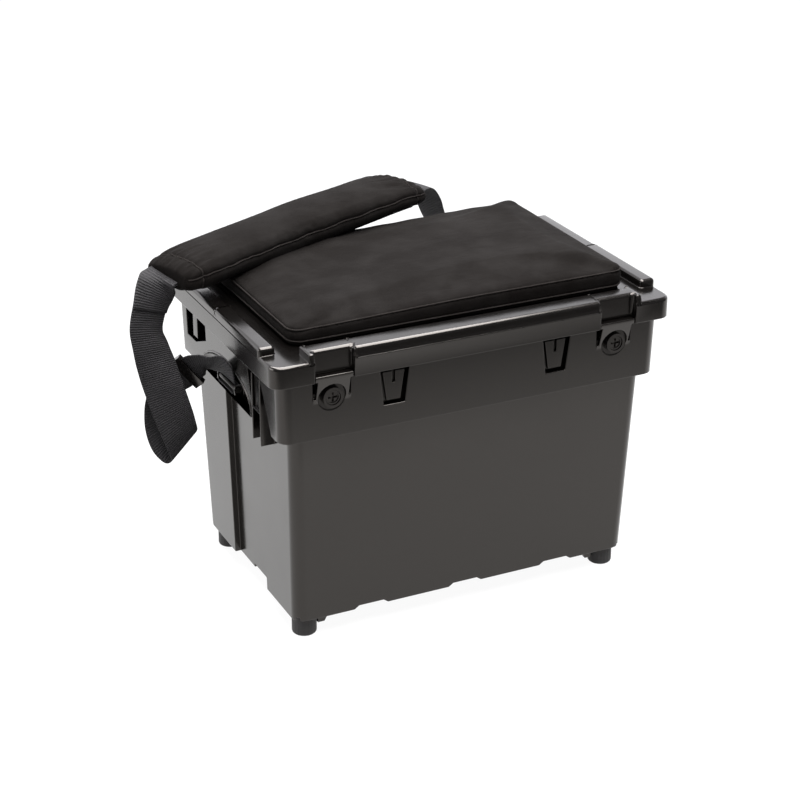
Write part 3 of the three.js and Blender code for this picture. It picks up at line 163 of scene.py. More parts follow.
def mixed_colour(tree, place, share, first, second):
    made = new_node(tree, "ShaderNodeMix", place, data_type="RGBA")
    tree.links.new(share, made.inputs[0])
    for socket, colour in ((made.inputs[6], first), (made.inputs[7], second)):
        if isinstance(colour, bpy.types.NodeSocket):
            tree.links.new(colour, socket)
        else:
            socket.default_value = (*colour, 1)
    return made.outputs[2]


def shade(colour, share, lift=0.0):
    """A colour made darker or lighter by a share, then lifted."""
    return [min(1.0, c * share + lift) for c in colour]


def grain_group():
    """The fine etched grain of a mould, with the slow waves of a cooled wall below it."""
    group, source, result = effect_group(
        "moulded_grain", [("Grain Size", 0.0007), ("Wave Size", 0.06)], ["Height", "Patches"]
    )
    fine_scale = math_node(group, "DIVIDE", (-700, -100), 1.0, source["Grain Size"])
    wave_scale = math_node(group, "DIVIDE", (-700, -300), 1.0, source["Wave Size"])
    fine = noise(group, (-450, 100), source["Vector"], fine_scale, 2.0)
    wave = noise(group, (-450, -200), source["Vector"], wave_scale, 1.0)
    patches = noise(group, (-450, -450), source["Vector"], wave_scale, 5.0, 0.6)
    scaled = math_node(group, "MULTIPLY", (-150, 100), fine, 0.12)
    group.links.new(math_node(group, "ADD", (200, 100), scaled, wave), result["Height"])
    group.links.new(patches, result["Patches"])
    return group


def handling_group():
    """Thin, dull scuffs that run mostly one way, where hands and gear rub."""
    group, source, result = effect_group(
        "handling_scuffs", [("Scuff Size", 0.03), ("Amount", 0.5)], ["Scuffs"]
    )
    stretch = new_node(group, "ShaderNodeMapping", (-700, 200))
    stretch.inputs["Scale"].default_value = (1.0, 6.0, 9.0)
    group.links.new(source["Vector"], stretch.inputs["Vector"])
    scale = math_node(group, "DIVIDE", (-700, -100), 1.0, source["Scuff Size"])
    lines = noise(group, (-450, 200), stretch.outputs[0], scale, 6.0, 0.65)
    where = noise(group, (-450, -150), source["Vector"], 9.0, 2.0)
    thin = mapped(group, (-150, 200), lines, 0.58, 0.7, 0.0, 1.0)
    local = mapped(group, (-150, -100), where, 0.5, 0.68, 0.0, 1.0)
    both = math_node(group, "MULTIPLY", (150, 100), thin, local)
    worn = math_node(group, "MULTIPLY", (400, 100), both, source["Amount"])
    group.links.new(worn, result["Scuffs"])
    return group


def weave_group():
    """A plain weave of round threads, one set over and under the other."""
    group, source, result = effect_group(
        "plain_weave", [("Thread", 0.0006), ("Slub", 0.2)], ["Height", "Over"]
    )
    split = new_node(group, "ShaderNodeSeparateXYZ", (-700, 200))
    group.links.new(source["Vector"], split.inputs[0])
    turns = math_node(group, "DIVIDE", (-700, -150), math.pi, source["Thread"])
    waves = []
    for index, output in enumerate(("X", "Y")):
        phase = math_node(group, "MULTIPLY", (-450, 200 - 250 * index), split.outputs[output], turns)
        waves.append(math_node(group, "SINE", (-250, 200 - 250 * index), phase))
    over = math_node(group, "MULTIPLY", (0, 200), waves[0], waves[1])
    round_x = math_node(group, "ABSOLUTE", (0, -100), waves[0])
    round_y = math_node(group, "ABSOLUTE", (0, -300), waves[1])
    threads = math_node(group, "MAXIMUM", (200, -100), round_x, round_y)
    slub = noise(group, (0, -500), source["Vector"], 140.0, 2.0)
    uneven = math_node(group, "MULTIPLY", (200, -450), slub, source["Slub"])
    total = math_node(group, "ADD", (400, 0), threads, uneven)
    group.links.new(total, result["Height"])
    group.links.new(mapped(group, (200, 300), over, -1.0, 1.0, 0.0, 1.0), result["Over"])
    return group


def wrinkle_group():
    """Soft creases of cloth over foam, long in one direction."""
    group, source, result = effect_group(
        "cloth_creases", [("Crease Size", 0.05), ("Stretch", 3.0)], ["Height"]
    )
    combine = new_node(group, "ShaderNodeCombineXYZ", (-700, -100))
    combine.inputs[0].default_value = 1.0
    combine.inputs[2].default_value = 1.0
    group.links.new(source["Stretch"], combine.inputs[1])
    long_way = new_node(group, "ShaderNodeVectorMath", (-500, 100), operation="MULTIPLY")
    group.links.new(source["Vector"], long_way.inputs[0])
    group.links.new(combine.outputs[0], long_way.inputs[1])
    scale = math_node(group, "DIVIDE", (-700, -300), 1.0, source["Crease Size"])
    broad = noise(group, (-250, 100), long_way.outputs[0], scale, 3.0, 0.55)
    centred = math_node(group, "SUBTRACT", (0, 100), broad, 0.5)
    fold = math_node(group, "ABSOLUTE", (150, 100), centred)
    ridge = mapped(group, (350, 100), fold, 0.0, 0.12, 1.0, 0.0)
    blend = math_node(group, "MULTIPLY", (550, 100), ridge, 0.25)
    group.links.new(math_node(group, "ADD", (700, 100), blend, broad), result["Height"])
    return group


def webbing_group():
    """The cross ribs of a woven band, each a row of threads. X runs along it, Y across."""
    group, source, result = effect_group(
        "band_ribs", [("Rib", 0.0022), ("Thread", 0.0013)], ["Height", "Rib Shading"]
    )
    split = new_node(group, "ShaderNodeSeparateXYZ", (-700, 200))
    group.links.new(source["Vector"], split.inputs[0])
    turns = math_node(group, "DIVIDE", (-450, -200), 2 * math.pi, source["Rib"])
    across = math_node(group, "DIVIDE", (-450, -400), 2 * math.pi, source["Thread"])
    drift = noise(group, (-450, 300), source["Vector"], 90.0, 2.0)
    wander = math_node(group, "MULTIPLY", (-250, 300), drift, 0.0012)
    along = math_node(group, "ADD", (-50, 100), split.outputs["X"], wander)
    rib_phase = math_node(group, "MULTIPLY", (150, 100), along, turns)
    thread_phase = math_node(group, "MULTIPLY", (150, -200), split.outputs["Y"], across)
    wave = math_node(group, "SINE", (320, 100), rib_phase)
    thread = math_node(group, "SINE", (320, -200), thread_phase)
    knots = math_node(group, "MULTIPLY_ADD", (450, 0), thread, 0.3, wave)
    ribs = mapped(group, (600, 100), knots, -1.3, 1.3, 0.0, 1.0)
    group.links.new(ribs, result["Height"])
    # The rib height also goes out as a colour mask: painted highlight on the crests, painted shade in
    # the grooves.
    group.links.new(ribs, result["Rib Shading"])
    return group


SHADER_GROUPS = {}


def shared_groups():
    if not SHADER_GROUPS:
        SHADER_GROUPS.update(
            grain=grain_group(),
            scuffs=handling_group(),
            weave=weave_group(),
            creases=wrinkle_group(),
            ribs=webbing_group(),
        )
    return SHADER_GROUPS


def fresh_material(name):
    made = bpy.data.materials.new(name)
    made.use_nodes = True
    tree = made.node_tree
    tree.nodes.clear()
    shader = new_node(tree, "ShaderNodeBsdfPrincipled", (300, 0))
    out = new_node(tree, "ShaderNodeOutputMaterial", (650, 0))
    tree.links.new(shader.outputs[0], out.inputs["Surface"])
    coordinates = new_node(tree, "ShaderNodeTexCoord", (-1100, 0))
    return made, tree, shader, coordinates


def add_bump(tree, shader, height, distance, strength=1.0, under=None):
    bump = new_node(tree, "ShaderNodeBump", (50, -350))
    set_inputs(bump, Strength=strength, Distance=distance)
    tree.links.new(height, bump.inputs["Height"])
    if under is not None:
        tree.links.new(under, bump.inputs["Normal"])
    if shader is not None:
        tree.links.new(bump.outputs[0], shader.inputs["Normal"])
    return bump.outputs[0]


def plastic_material(name, colour, roughness, grain_depth, scuff=0.5, specular=0.5):
    """Black moulded plastic: etched grain, slow waves, a patchy sheen and faint scuffs."""
    groups = shared_groups()
    made, tree, shader, coordinates = fresh_material(name)
    place = coordinates.outputs["Object"]
    grain = place_group(tree, groups["grain"], (-800, -200), place, Grain_Size=0.0009, Wave_Size=0.09)
    scuffs = place_group(tree, groups["scuffs"], (-800, 200), place, Scuff_Size=0.03, Amount=scuff)
    patches = mixed_colour(
        tree, (-450, 200), grain["Patches"], shade(colour, 0.86), shade(colour, 1.14)
    )
    worn = mixed_colour(tree, (-200, 200), scuffs["Scuffs"], patches, shade(colour, 1.8, 0.004))
    tree.links.new(worn, shader.inputs["Base Color"])
    dull = mapped(tree, (-450, -100), grain["Patches"], 0.3, 0.7, roughness - 0.04, roughness + 0.05)
    rough = math_node(tree, "MULTIPLY_ADD", (-200, -100), scuffs["Scuffs"], 0.22, dull)
    tree.links.new(rough, shader.inputs["Roughness"])
    set_inputs(shader, Specular_IOR_Level=specular, Specular_Tint=WARM_SHINE)
    add_bump(tree, shader, grain["Height"], grain_depth)
    return made


def steel_material(name, colour, roughness):
    """Zinc plated steel, drawn one way."""
    groups = shared_groups()
    made, tree, shader, coordinates = fresh_material(name)
    place = coordinates.outputs["Object"]
    grain = place_group(tree, groups["grain"], (-800, -200), place, Grain_Size=0.0006, Wave_Size=0.012)
    tone = mixed_colour(tree, (-450, 200), grain["Patches"], shade(colour, 0.82), colour)
    tree.links.new(tone, shader.inputs["Base Color"])
    dull = mapped(tree, (-450, -100), grain["Patches"], 0.3, 0.7, roughness - 0.07, roughness + 0.1)
    tree.links.new(dull, shader.inputs["Roughness"])
    set_inputs(shader, Metallic=1.0)
    add_bump(tree, shader, grain["Height"], 0.00004)
    return made


def cloth_material(name, colour, thread=0.0007, crease=0.055):
    """Black woven nylon over foam: threads, a soft nap, dusty faded patches and creases."""
    groups = shared_groups()
    made, tree, shader, coordinates = fresh_material(name)
    place = coordinates.outputs["Object"]
    weave = place_group(tree, groups["weave"], (-800, -200), place, Thread=thread, Slub=0.25)
    creases = place_group(tree, groups["creases"], (-800, -450), place, Crease_Size=crease, Stretch=3.0)
    fade = noise(tree, (-800, 300), place, 22.0, 5.0, 0.6)
    threads = mixed_colour(tree, (-500, 0), weave["Over"], shade(colour, 0.72), shade(colour, 1.2))
    share = mapped(tree, (-500, 300), fade, 0.42, 0.75, 0.0, 0.6)
    faded = mixed_colour(tree, (-200, 200), share, threads, shade(colour, 1.35, 0.004))
    tree.links.new(faded, shader.inputs["Base Color"])
    set_inputs(shader, Roughness=0.85, Specular_IOR_Level=0.03)
    set_inputs(shader, Sheen_Weight=0.004, Sheen_Roughness=0.45)
    under = add_bump(tree, None, creases["Height"], 0.0011, 0.7)
    add_bump(tree, shader, weave["Height"], 0.00012, 0.8, under)
    return made


def webbing_material(name, colour):
    """Black woven tape whose cross ribs follow it through its own map, painted lighter on their crests
    and darker in their grooves: painted highlight and painted shade.
    """
    groups = shared_groups()
    made, tree, shader, coordinates = fresh_material(name)
    chart = coordinates.outputs["UV"]
    ribs = place_group(tree, groups["ribs"], (-800, -200), chart, Rib=0.0025, Thread=0.0014)
    worn = noise(tree, (-800, 300), coordinates.outputs["Object"], 60.0, 4.0, 0.6)
    # Painted highlight and painted shade: the ribs' crests lighter, their grooves darker.
    threads = mixed_colour(tree, (-500, 0), ribs["Rib Shading"], shade(colour, 0.4), shade(colour, 1.3))
    share = mapped(tree, (-500, 300), worn, 0.45, 0.8, 0.0, 0.4)
    faded = mixed_colour(tree, (-200, 200), share, threads, shade(colour, 1.6, 0.004))
    tree.links.new(faded, shader.inputs["Base Color"])
    set_inputs(shader, Roughness=0.7, Specular_IOR_Level=0.15, Sheen_Weight=0.01)
    add_bump(tree, shader, ribs["Height"], 0.0008, 1.0)
    return made


def highlit_welt_material(name, colour):
    """The cover's cloth for a seam's welt, with finer threads, made lighter as a painted highlight
    where the welt catches the light.
    """
    return cloth_material(name, shade(colour, 2.2, 0.002), 0.0004)


def plywood_material(name, colour):
    """Bare plywood: long grain with darker growth lines."""
    made, tree, shader, coordinates = fresh_material(name)
    grainy = new_node(tree, "ShaderNodeMapping", (-850, 0))
    grainy.inputs["Scale"].default_value = (2.0, 30.0, 30.0)
    tree.links.new(coordinates.outputs["Object"], grainy.inputs["Vector"])
    lines = noise(tree, (-600, 0), grainy.outputs[0], 6.0, 6.0, 0.6)
    tone = mixed_colour(tree, (-300, 100), lines, shade(colour, 0.6), colour)
    tree.links.new(tone, shader.inputs["Base Color"])
    set_inputs(shader, Roughness=0.7)
    add_bump(tree, shader, lines, 0.0002)
    return made


# Finishes and sizes that a user would change


def amount(name, description, default, **settings):
    return FloatProperty(name=name, description=description, default=default, **settings)


def length(name, description, default, low=0.0001, high=1.0):
    return amount(name, description, default, min=low, max=high, unit="LENGTH", precision=4)


def angle(name, description, degrees):
    return amount(name, description, math.radians(degrees), subtype="ANGLE")


def count(name, description, default):
    return IntProperty(name=name, description=description, default=default, min=2, max=20)


def colour(name, description, default):
    return FloatVectorProperty(
        name=name, description=description, default=default, subtype="COLOR", size=3, min=0, max=1
    )


class SeatBoxFinishes(PropertyGroup):
    box: colour("Box", "Colour of the tub, collar and lid", (0.0014, 0.0012, 0.0011))
    box_roughness: amount(
        "Box roughness", "How dull the mouldings are", 0.16, min=0.1, max=1, subtype="FACTOR"
    )
    lock: colour("Locks", "Colour of the quarter-turn locks and the slider", (0.0014, 0.0012, 0.0012))
    rubber: colour("Feet", "Colour of the rubber feet", (0.02, 0.02, 0.021))
    cloth: colour("Cover", "Colour of the seat's and the pad's cover", (0.0041, 0.0034, 0.0031))
    tape: colour("Webbing", "Colour of the strap's webbing", (0.0125, 0.0116, 0.0125))
    steel: colour("Steel", "Colour of pins, screws, cams and keepers", (0.62, 0.62, 0.63))
    ply: colour("Board", "Colour of the seat's plywood", (0.45, 0.31, 0.18))


class SeatCushionSizes(PropertyGroup):
    longer: length("Longer", "How much farther than its solid the seat reaches", 0.004, 0.0)
    deeper: length("Deeper", "How much farther it reaches to the front", 0.005, 0.0)
    higher: length("Higher", "How much higher it reaches", 0.0015, 0.0)
    lift: length("Lift", "How much the seat swells where the pad doesn't press", 0.006, 0.0)
    allowance: length("Allowance", "How much smaller the seat starts, for it swells", 0.002)
    corner: length("Corner", "Radius of the seat's upright corners", 0.015)
    seam_round: length("Seam round", "Radius of the rounding above the seam", 0.008)
    voxel: length("Voxel", "Size of the remeshed cells", 0.0045)
    pressure: amount("Pressure", "Air pressure that fills the cover", 4.0, min=0, max=20)
    cap: length("Cap", "The farthest that any point of the cover may move", 0.006)


class ShoulderPadSizes(PropertyGroup):
    turn: angle("Turn", "The pad's direction, seen from above", 22.3)
    length: length("Length", "The pad's length", 0.385)
    shift: length("Shift", "How far the sleeve has slid along the tape", -0.003, -0.02, 0.02)
    width: length("Width", "The pad's width", 0.084)
    thickness: length("Thickness", "The pad's thickness in its middle", 0.04)
    height: length("Height", "Height of the pad's middle above the ground", 0.3865)
    gather: length("Gather", "Length over which each end is drawn flat", 0.032)
    droop: length("Droop", "How far the ends hang down", 0.004, 0.0)
    cuff: length("Cuff", "From each end to the seam across it", 0.019)
    taper: amount(
        "Taper", "How much narrower the left end is", 0.32, min=0, max=0.9, subtype="FACTOR"
    )
    tape_aside: length("Tape aside", "How far beside its middle the left tape leaves", 0.008, 0.0)
    rise: length("Rise", "How far each end is above or below that", 0.004)
    arch: length("Arch", "How far the middle rises above a straight line", 0.002)
    voxel: length("Voxel", "Size of the remeshed cells", 0.004)
    pressure: amount("Pressure", "Air pressure that fills the sleeve", 4.0, min=0, max=20)
    cap: length("Cap", "The farthest that any point of the cover may move", 0.004)


class WebbingSizes(PropertyGroup):
    thickness: length("Thickness", "Thickness of the tape", 0.0018)
    fold: length("Fold", "Length of the doubled part below the pad", 0.06)
    per_span: count("Steps", "Steps between two places of the route", 6)
    across: count("Cells across", "Cells across the tape", 8)


class StageSizes(PropertyGroup):
    floor: colour("Floor", "Colour of the floor", (0.36, 0.36, 0.36))
    near_floor: amount("Near floor", "Brightness of the mirrored floor by the box", 1.4, min=0)
    far_floor: amount("Far floor", "Brightness of the mirrored floor towards the camera", 0.1, min=0)
    front: amount("Front", "Brightness of the room behind the camera", 0.3, min=0)
    back: amount("Back", "Brightness of the room behind the box", 2.1, min=0)
    zenith: amount("Zenith", "Brightness of the room above the box", 0.4, min=0)
    top_lamp: amount("Top lamp", "Power of the lamp above the box, in watts", 235.0, min=0)
    left_lamp: amount("Left lamp", "Power of the lamp on the left, in watts", 26.0, min=0)
    azimuth: angle("Azimuth", "The camera's direction round the box", -25.70)
    elevation: angle("Elevation", "The camera's height above the horizon", 24.36)
    roll: angle("Roll", "The camera's turn about its own view", -0.13)
    lens: amount("Lens", "Focal length in millimetres", 88.70, min=10)


# Mesh helpers


def deselect_all():
    if bpy.context.object and bpy.context.object.mode != "OBJECT":
        bpy.ops.object.mode_set(mode="OBJECT")
    bpy.ops.object.select_all(action="DESELECT")


def make_active(obj):
    deselect_all()
    obj.select_set(True)
    bpy.context.view_layer.objects.active = obj


def added(name):
    """The object that the last primitive made, named."""
    obj = bpy.context.object
    obj.name = obj.data.name = name
    return obj


def apply_place(obj):
    make_active(obj)
    bpy.ops.object.transform_apply(location=True, rotation=True, scale=True)


def edit_edges(obj):
    make_active(obj)
    bpy.ops.object.mode_set(mode="EDIT")
    bpy.ops.mesh.select_mode(type="EDGE")
    bpy.ops.mesh.select_all(action="DESELECT")
    return bmesh.from_edit_mesh(obj.data)


def choose(obj, mesh, parts, wanted):
    """Selects those vertices, edges or faces of an edit mesh for which wanted is true."""
    for part in parts:
        part.select_set(bool(wanted(part)))
    mesh.select_flush_mode()
    bmesh.update_edit_mesh(obj.data)


def finish_edit():
    bpy.ops.object.mode_set(mode="OBJECT")


def apply_modifier(obj, kind, name, **settings):
    make_active(obj)
    modifier = obj.modifiers.new(name, kind)
    for key, value in settings.items():
        setattr(modifier, key, value)
    bpy.ops.object.modifier_apply(modifier=name)


def bevel_sharp(obj, name, width, sharp, **settings):
    """Rounds each edge that is sharper than an angle."""
    settings.update(width=width, segments=2, limit_method="ANGLE", angle_limit=sharp)
    apply_modifier(obj, "BEVEL", name, **settings)


def smooth(obj, angle=math.radians(40)):
    make_active(obj)
    bpy.ops.object.shade_smooth_by_angle(angle=angle)


def dress(obj, material):
    obj.data.materials.clear()
    obj.data.materials.append(material)


def paint(name, material):
    """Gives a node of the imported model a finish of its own."""
    part = nodes[name]
    if not part.material_slots:
        part.data.materials.append(material)
    for holder in part.material_slots:
        holder.link = "OBJECT"
        holder.material = material


def remesh(obj, voxel):
    make_active(obj)
    obj.data.remesh_voxel_size = voxel
    obj.data.remesh_voxel_adaptivity = 0
    bpy.ops.object.voxel_remesh()


def inflate(obj, pressure, cap, held):
    """Fills a cover with air and caps how far each point moves.

    held says how firmly a rest point is held, from 0 to 1.
    """
    rest = [v.co.copy() for v in obj.data.vertices]
    hold = [held(co) for co in rest]
    group = obj.vertex_groups.new(name="held")
    for index, weight in enumerate(hold):
        if weight > 0:
            group.add([index], weight, "REPLACE")
    make_active(obj)
    cloth = obj.modifiers.new("fill", "CLOTH")
    cloth.settings.quality = 5
    cloth.settings.mass = 0.3
    cloth.settings.use_pressure = True
    cloth.settings.uniform_pressure_force = pressure
    cloth.settings.effector_weights.gravity = 0
    cloth.settings.tension_stiffness = 20
    cloth.settings.compression_stiffness = 12
    cloth.settings.bending_stiffness = 0.6
    cloth.settings.vertex_group_mass = "held"
    cloth.collision_settings.use_collision = False
    cloth.point_cache.frame_start = 1
    cloth.point_cache.frame_end = 20
    for number in range(1, 21):
        bpy.context.scene.frame_set(number)
    bpy.ops.object.modifier_apply(modifier="fill")
    bpy.context.scene.frame_set(1)
    for vertex, start, firm in zip(obj.data.vertices, rest, hold):
        move = vertex.co - start
        limit = cap * (1 - 0.9 * firm)
        if move.length > limit:
            move *= limit / move.length
        vertex.co = start + move
    obj.vertex_groups.clear()
    obj.data.update()


# The seat


def build_cushion(sizes):
    """The seat: a boxed cushion with a crowned top whose sides pull in between its corners."""
    middle = (cushion_low + cushion_high) / 2
    span = cushion_high - cushion_low
    slack = sizes.allowance
    deselect_all()
    bpy.ops.mesh.primitive_cube_add(size=1, location=middle)
    seat = added("seat_cover")
    middle += Vector((sizes.longer, -sizes.deeper, sizes.higher)) / 2
    span += Vector((sizes.longer, sizes.deeper, sizes.higher))
    seat.scale = (span.x - 2 * slack, span.y - 2 * slack, span.z - 2 * slack)
    seat.location = (middle.x, middle.y, cushion_low.z + (span.z - 2 * slack) / 2)
    apply_place(seat)
    mesh = edit_edges(seat)
    choose(seat, mesh, mesh.edges, lambda e: abs(e.verts[0].co.z - e.verts[1].co.z) > span.z / 3)
    bpy.ops.mesh.bevel(offset=sizes.corner, segments=6)
    mesh = bmesh.from_edit_mesh(seat.data)
    top = max(v.co.z for v in mesh.verts)
    choose(seat, mesh, mesh.edges, lambda e: all(v.co.z > top - 1e-5 for v in e.verts))
    bpy.ops.mesh.bevel(offset=sizes.seam_round, segments=4)
    finish_edit()
    remesh(seat, sizes.voxel)
    low = min(v.co.z for v in seat.data.vertices)
    half_x, half_y = span.x / 2 - slack, span.y / 2 - slack

    for vertex in seat.data.vertices:
        co = vertex.co
        x, y = (co.x - middle.x) / half_x, (co.y - middle.y) / half_y
        up = clamped((co.z - low) / (top - low))
        bulge = 0.0022 * math.sin(up * math.pi) - 0.0008 * up
        vertex.co += Vector((bulge * x * abs(x), bulge * y * abs(y), 0))
    seam = top - sizes.seam_round

    def held(co):
        if co.z < low + 0.003:
            return 1.0
        edge_x = half_x - abs(co.x - middle.x)
        edge_y = half_y - abs(co.y - middle.y)
        near_edge = min(edge_x, edge_y) < 0.006
        return 0.85 if near_edge and abs(co.z - seam) < 0.004 else 0.0

    inflate(seat, sizes.pressure, sizes.cap, held)
    apply_modifier(seat, "SUBSURF", "soften", levels=1, render_levels=1)
    crease_seat(seat, middle, half_x, half_y, low, top, sizes.lift)
    smooth(seat, math.radians(60))
    return seat, middle, half_x, half_y, top


def unpressed(x, y):
    """How freely the seat swells at a place, from 0 under the pad to 1 away from it."""
    free = clamped(0.5 + x * 0.9 - y * 0.35)
    return free * free * (3 - 2 * free)


def crease_seat(seat, middle, half_x, half_y, low, top, lift):
    """Faint creases that run in from the seat's seam, and its swell beside the pad."""
    for vertex in seat.data.vertices:
        co = vertex.co
        x, y = (co.x - middle.x) / half_x, (co.y - middle.y) / half_y
        edge = max(abs(x), abs(y)) if co.z > top - 0.012 else 2.0
        ripple = math.sin(x * 31 + math.sin(y * 4) * 1.7) * max(0.0, abs(y) - 0.55)
        ripple += math.sin(y * 23 + math.sin(x * 3 + 1) * 2.1) * max(0.0, abs(x) - 0.62)
        fade = clamped((1.02 - edge) * 9)
        share = (co.z - low) / (top - low)
        vertex.co.z += 0.0011 * ripple * fade + lift * unpressed(x, y) * share
    seat.data.update()


def tube_along(name, lines, radius, closed=False):
    """Thin threads or welts, each along one line of points, as one mesh."""
    data = bpy.data.curves.new(name, "CURVE")
    data.dimensions = "3D"
    data.bevel_depth = radius
    data.bevel_resolution = 2
    data.use_fill_caps = True
    for points in lines:
        line = data.splines.new("POLY")
        line.points.add(len(points) - 1)
        for place, point in zip(line.points, points):
            place.co = (*point, 1)
        line.use_cyclic_u = closed
    obj = bpy.data.objects.new(name, data)
    bpy.context.scene.collection.objects.link(obj)
    make_active(obj)
    bpy.ops.object.convert(target="MESH")
    return bpy.context.object


def draw_in(obj, seam, reach, depth):
    """Pulls a cover in towards its seam, most at the seam itself and nothing beyond reach."""
    tree = KDTree(len(seam))
    for index, (place, _) in enumerate(seam):
        tree.insert(place, index)
    tree.balance()
    for vertex in obj.data.vertices:
        _, index, distance = tree.find(vertex.co)
        if distance < reach:
            share = (1 - distance / reach) ** 2
            vertex.co -= seam[index][1] * depth * share
    obj.data.update()


def surface_points(obj, starts, towards):
    """Where rays from starts in the direction towards first meet a mesh, and the normals there."""
    found = []
    for start, way in zip(starts, towards):
        hit, place, normal, _ = obj.ray_cast(start, way)
        if hit:
            found.append((place.copy(), normal.copy()))
    return found


def rounded_ring(middle, half_x, half_y, radius, count):
    """Points and outward directions round a rectangle with round corners."""
    straight_x, straight_y = 2 * (half_x - radius), 2 * (half_y - radius)
    arc = math.pi * radius / 2
    total = 2 * (straight_x + straight_y) + 4 * arc
    runs = ((1, 1, straight_x), (-1, 1, straight_y), (-1, -1, straight_x), (1, -1, straight_y))
    ring = []
    for index in range(count):
        s = index / count * total
        for turn, (sx, sy, run) in enumerate(runs):
            inset_x, inset_y = sx * (half_x - radius), sy * (half_y - radius)
            corner = Vector((middle.x + inset_x, middle.y + inset_y, 0))
            if s <= arc:
                angle = math.pi / 2 * (turn + s / arc)
                out = Vector((math.cos(angle), math.sin(angle), 0))
                ring.append((corner + out * radius, out))
                break
            s -= arc
            if s <= run:
                angle = math.pi / 2 * (turn + 1)
                out = Vector((math.cos(angle), math.sin(angle), 0))
                along = Vector((-out.y, out.x, 0))
                ring.append((corner + out * radius + along * s, out))
                break
            s -= run
    return ring


def build_cushion_seam(seat, middle, half_x, half_y, top, sizes):
    """The seams that join the seat's sides to its top and its bottom, drawn in by their thread."""
    away = 0.02
    ring = rounded_ring(middle, half_x + away, half_y + away, sizes.corner + away, 220)
    lines = []
    for height, share in ((top - sizes.seam_round * 0.9, 0.7), (cushion_low.z + 0.0055, 0.0)):
        starts = []
        for point, _ in ring:
            x, y = (point.x - middle.x) / (half_x + away), (point.y - middle.y) / (half_y + away)
            starts.append(point + Vector((0, 0, height + share * sizes.lift * unpressed(x, y))))
        found = surface_points(seat, starts, [-out for _, out in ring])
        below = [(place - Vector((0, 0, 0.0012)), normal) for place, normal in found]
        draw_in(seat, below, 0.004, 0.0018)
        lines.append([place + normal * 0.0002 for place, normal in found])
    return tube_along("seat_seam", lines, 0.0009, True)


# The shoulder pad


def pad_axes(sizes):
    along = Vector((math.cos(sizes.turn), math.sin(sizes.turn), 0))
    across = Vector((-math.sin(sizes.turn), math.cos(sizes.turn), 0))
    middle = Vector(((pad_low.x + pad_high.x) / 2, (pad_low.y + pad_high.y) / 2, sizes.height))
    return along, across, middle + along * sizes.shift


def droop_at(sizes, s):
    """How far the pad hangs down at a share s of its half length."""
    return sizes.droop * max(0.0, (abs(s) - 0.7) / 0.3) ** 2


def pad_point(sizes, along, across, middle, s, a, b):
    """A place on the pad: s goes along it, a and b across its section, each from -1 to 1."""
    to_end = (1 - abs(s)) * sizes.length / 2
    swell = min(1.0, to_end / sizes.gather)
    rounding = math.sqrt(max(0.0, 1 - (1 - swell) ** 2))
    taper = sizes.taper if s < 0 else sizes.taper * 0.4
    wide = sizes.width / 2 * (1 - taper * (1 - rounding))
    thick = sizes.thickness / 2 * (0.36 + 0.64 * rounding)
    bow = sizes.arch * math.cos(s * math.pi / 2) - droop_at(sizes, s)
    size = (abs(a) ** SECTION_POWER + abs(b) ** SECTION_POWER) ** (1 / SECTION_POWER)
    edge = max(abs(a), abs(b))
    factor = edge / size if size > 1e-9 else 1.0
    centre = middle + along * (s * sizes.length / 2) + Vector((0, 0, bow + s * sizes.rise))
    if s < 0:
        centre += across * (sizes.tape_aside * (1 - rounding))
    return centre + across * (a * factor * wide) + Vector((0, 0, b * factor * thick))


def build_pad(sizes):
    """The strap's padded sleeve: a long pillow, gathered and stitched flat at both ends."""
    along, across, middle = pad_axes(sizes)
    deselect_all()
    bpy.ops.mesh.primitive_cube_add(size=2, location=(0, 0, 0))
    pad = added("pad_cover")
    mesh = edit_edges(pad)
    choose(pad, mesh, mesh.edges, lambda e: True)
    bpy.ops.mesh.subdivide(number_cuts=31)
    finish_edit()
    for vertex in pad.data.vertices:
        x, y, z = vertex.co
        s = math.sin(x * math.pi / 2)
        vertex.co = pad_point(sizes, along, across, middle, s * 0.992, y * 0.965, z * 0.93)
    remesh(pad, sizes.voxel)

    def held(co):
        away = co - middle
        s = abs(away.dot(along)) / (sizes.length / 2)
        return 1.0 if s > 0.96 else 0.0

    inflate(pad, sizes.pressure, sizes.cap, held)
    apply_modifier(pad, "SUBSURF", "soften", levels=1, render_levels=1)
    ruffle_pad(pad, sizes)
    seams = build_pad_seams(pad, sizes)
    smooth(pad, math.radians(60))
    return pad, seams


def build_pad_seams(pad, sizes):
    """The sleeve's seams: one along each long side and one across it near each end, ruffled."""
    along, across, middle = pad_axes(sizes)
    lines = []
    for side in (-1, 1):
        starts, ways = [], []
        for i in range(121):
            s = (i / 120 * 2 - 1) * 0.975
            level = -0.08 * sizes.thickness + 0.0006 * math.sin(s * 23 + side)
            level += droop_at(sizes, s)
            up = Vector((0, 0, s * sizes.rise - level))
            starts.append(middle + along * (s * sizes.length / 2) + across * (side * 0.08) + up)
            ways.append(across * -side)
        lines.append((starts, ways, 0.006, 0.0022))
    for end in (-1, 1):
        starts, ways = [], []
        for i in range(61):
            angle = i / 60 * 2 * math.pi
            out = across * math.cos(angle) + Vector((0, 0, math.sin(angle)))
            s = end * (1 - 2 * sizes.cuff / sizes.length)
            up = Vector((0, 0, s * sizes.rise - droop_at(sizes, s)))
            core = middle + along * (s * sizes.length / 2) + up
            starts.append(core + across * (math.cos(angle) * 0.03) + out * 0.05)
            ways.append(-out)
        lines.append((starts, ways, 0.006, 0.0024))
    seams = []
    for starts, ways, reach, depth in lines:
        draw_in(pad, surface_points(pad, starts, ways), reach, depth)
    for starts, ways, _, _ in lines:
        found = surface_points(pad, starts, ways)
        seams.append([place + normal * 0.0005 for place, normal in found])
    return tube_along("pad_seams", seams, 0.0009)


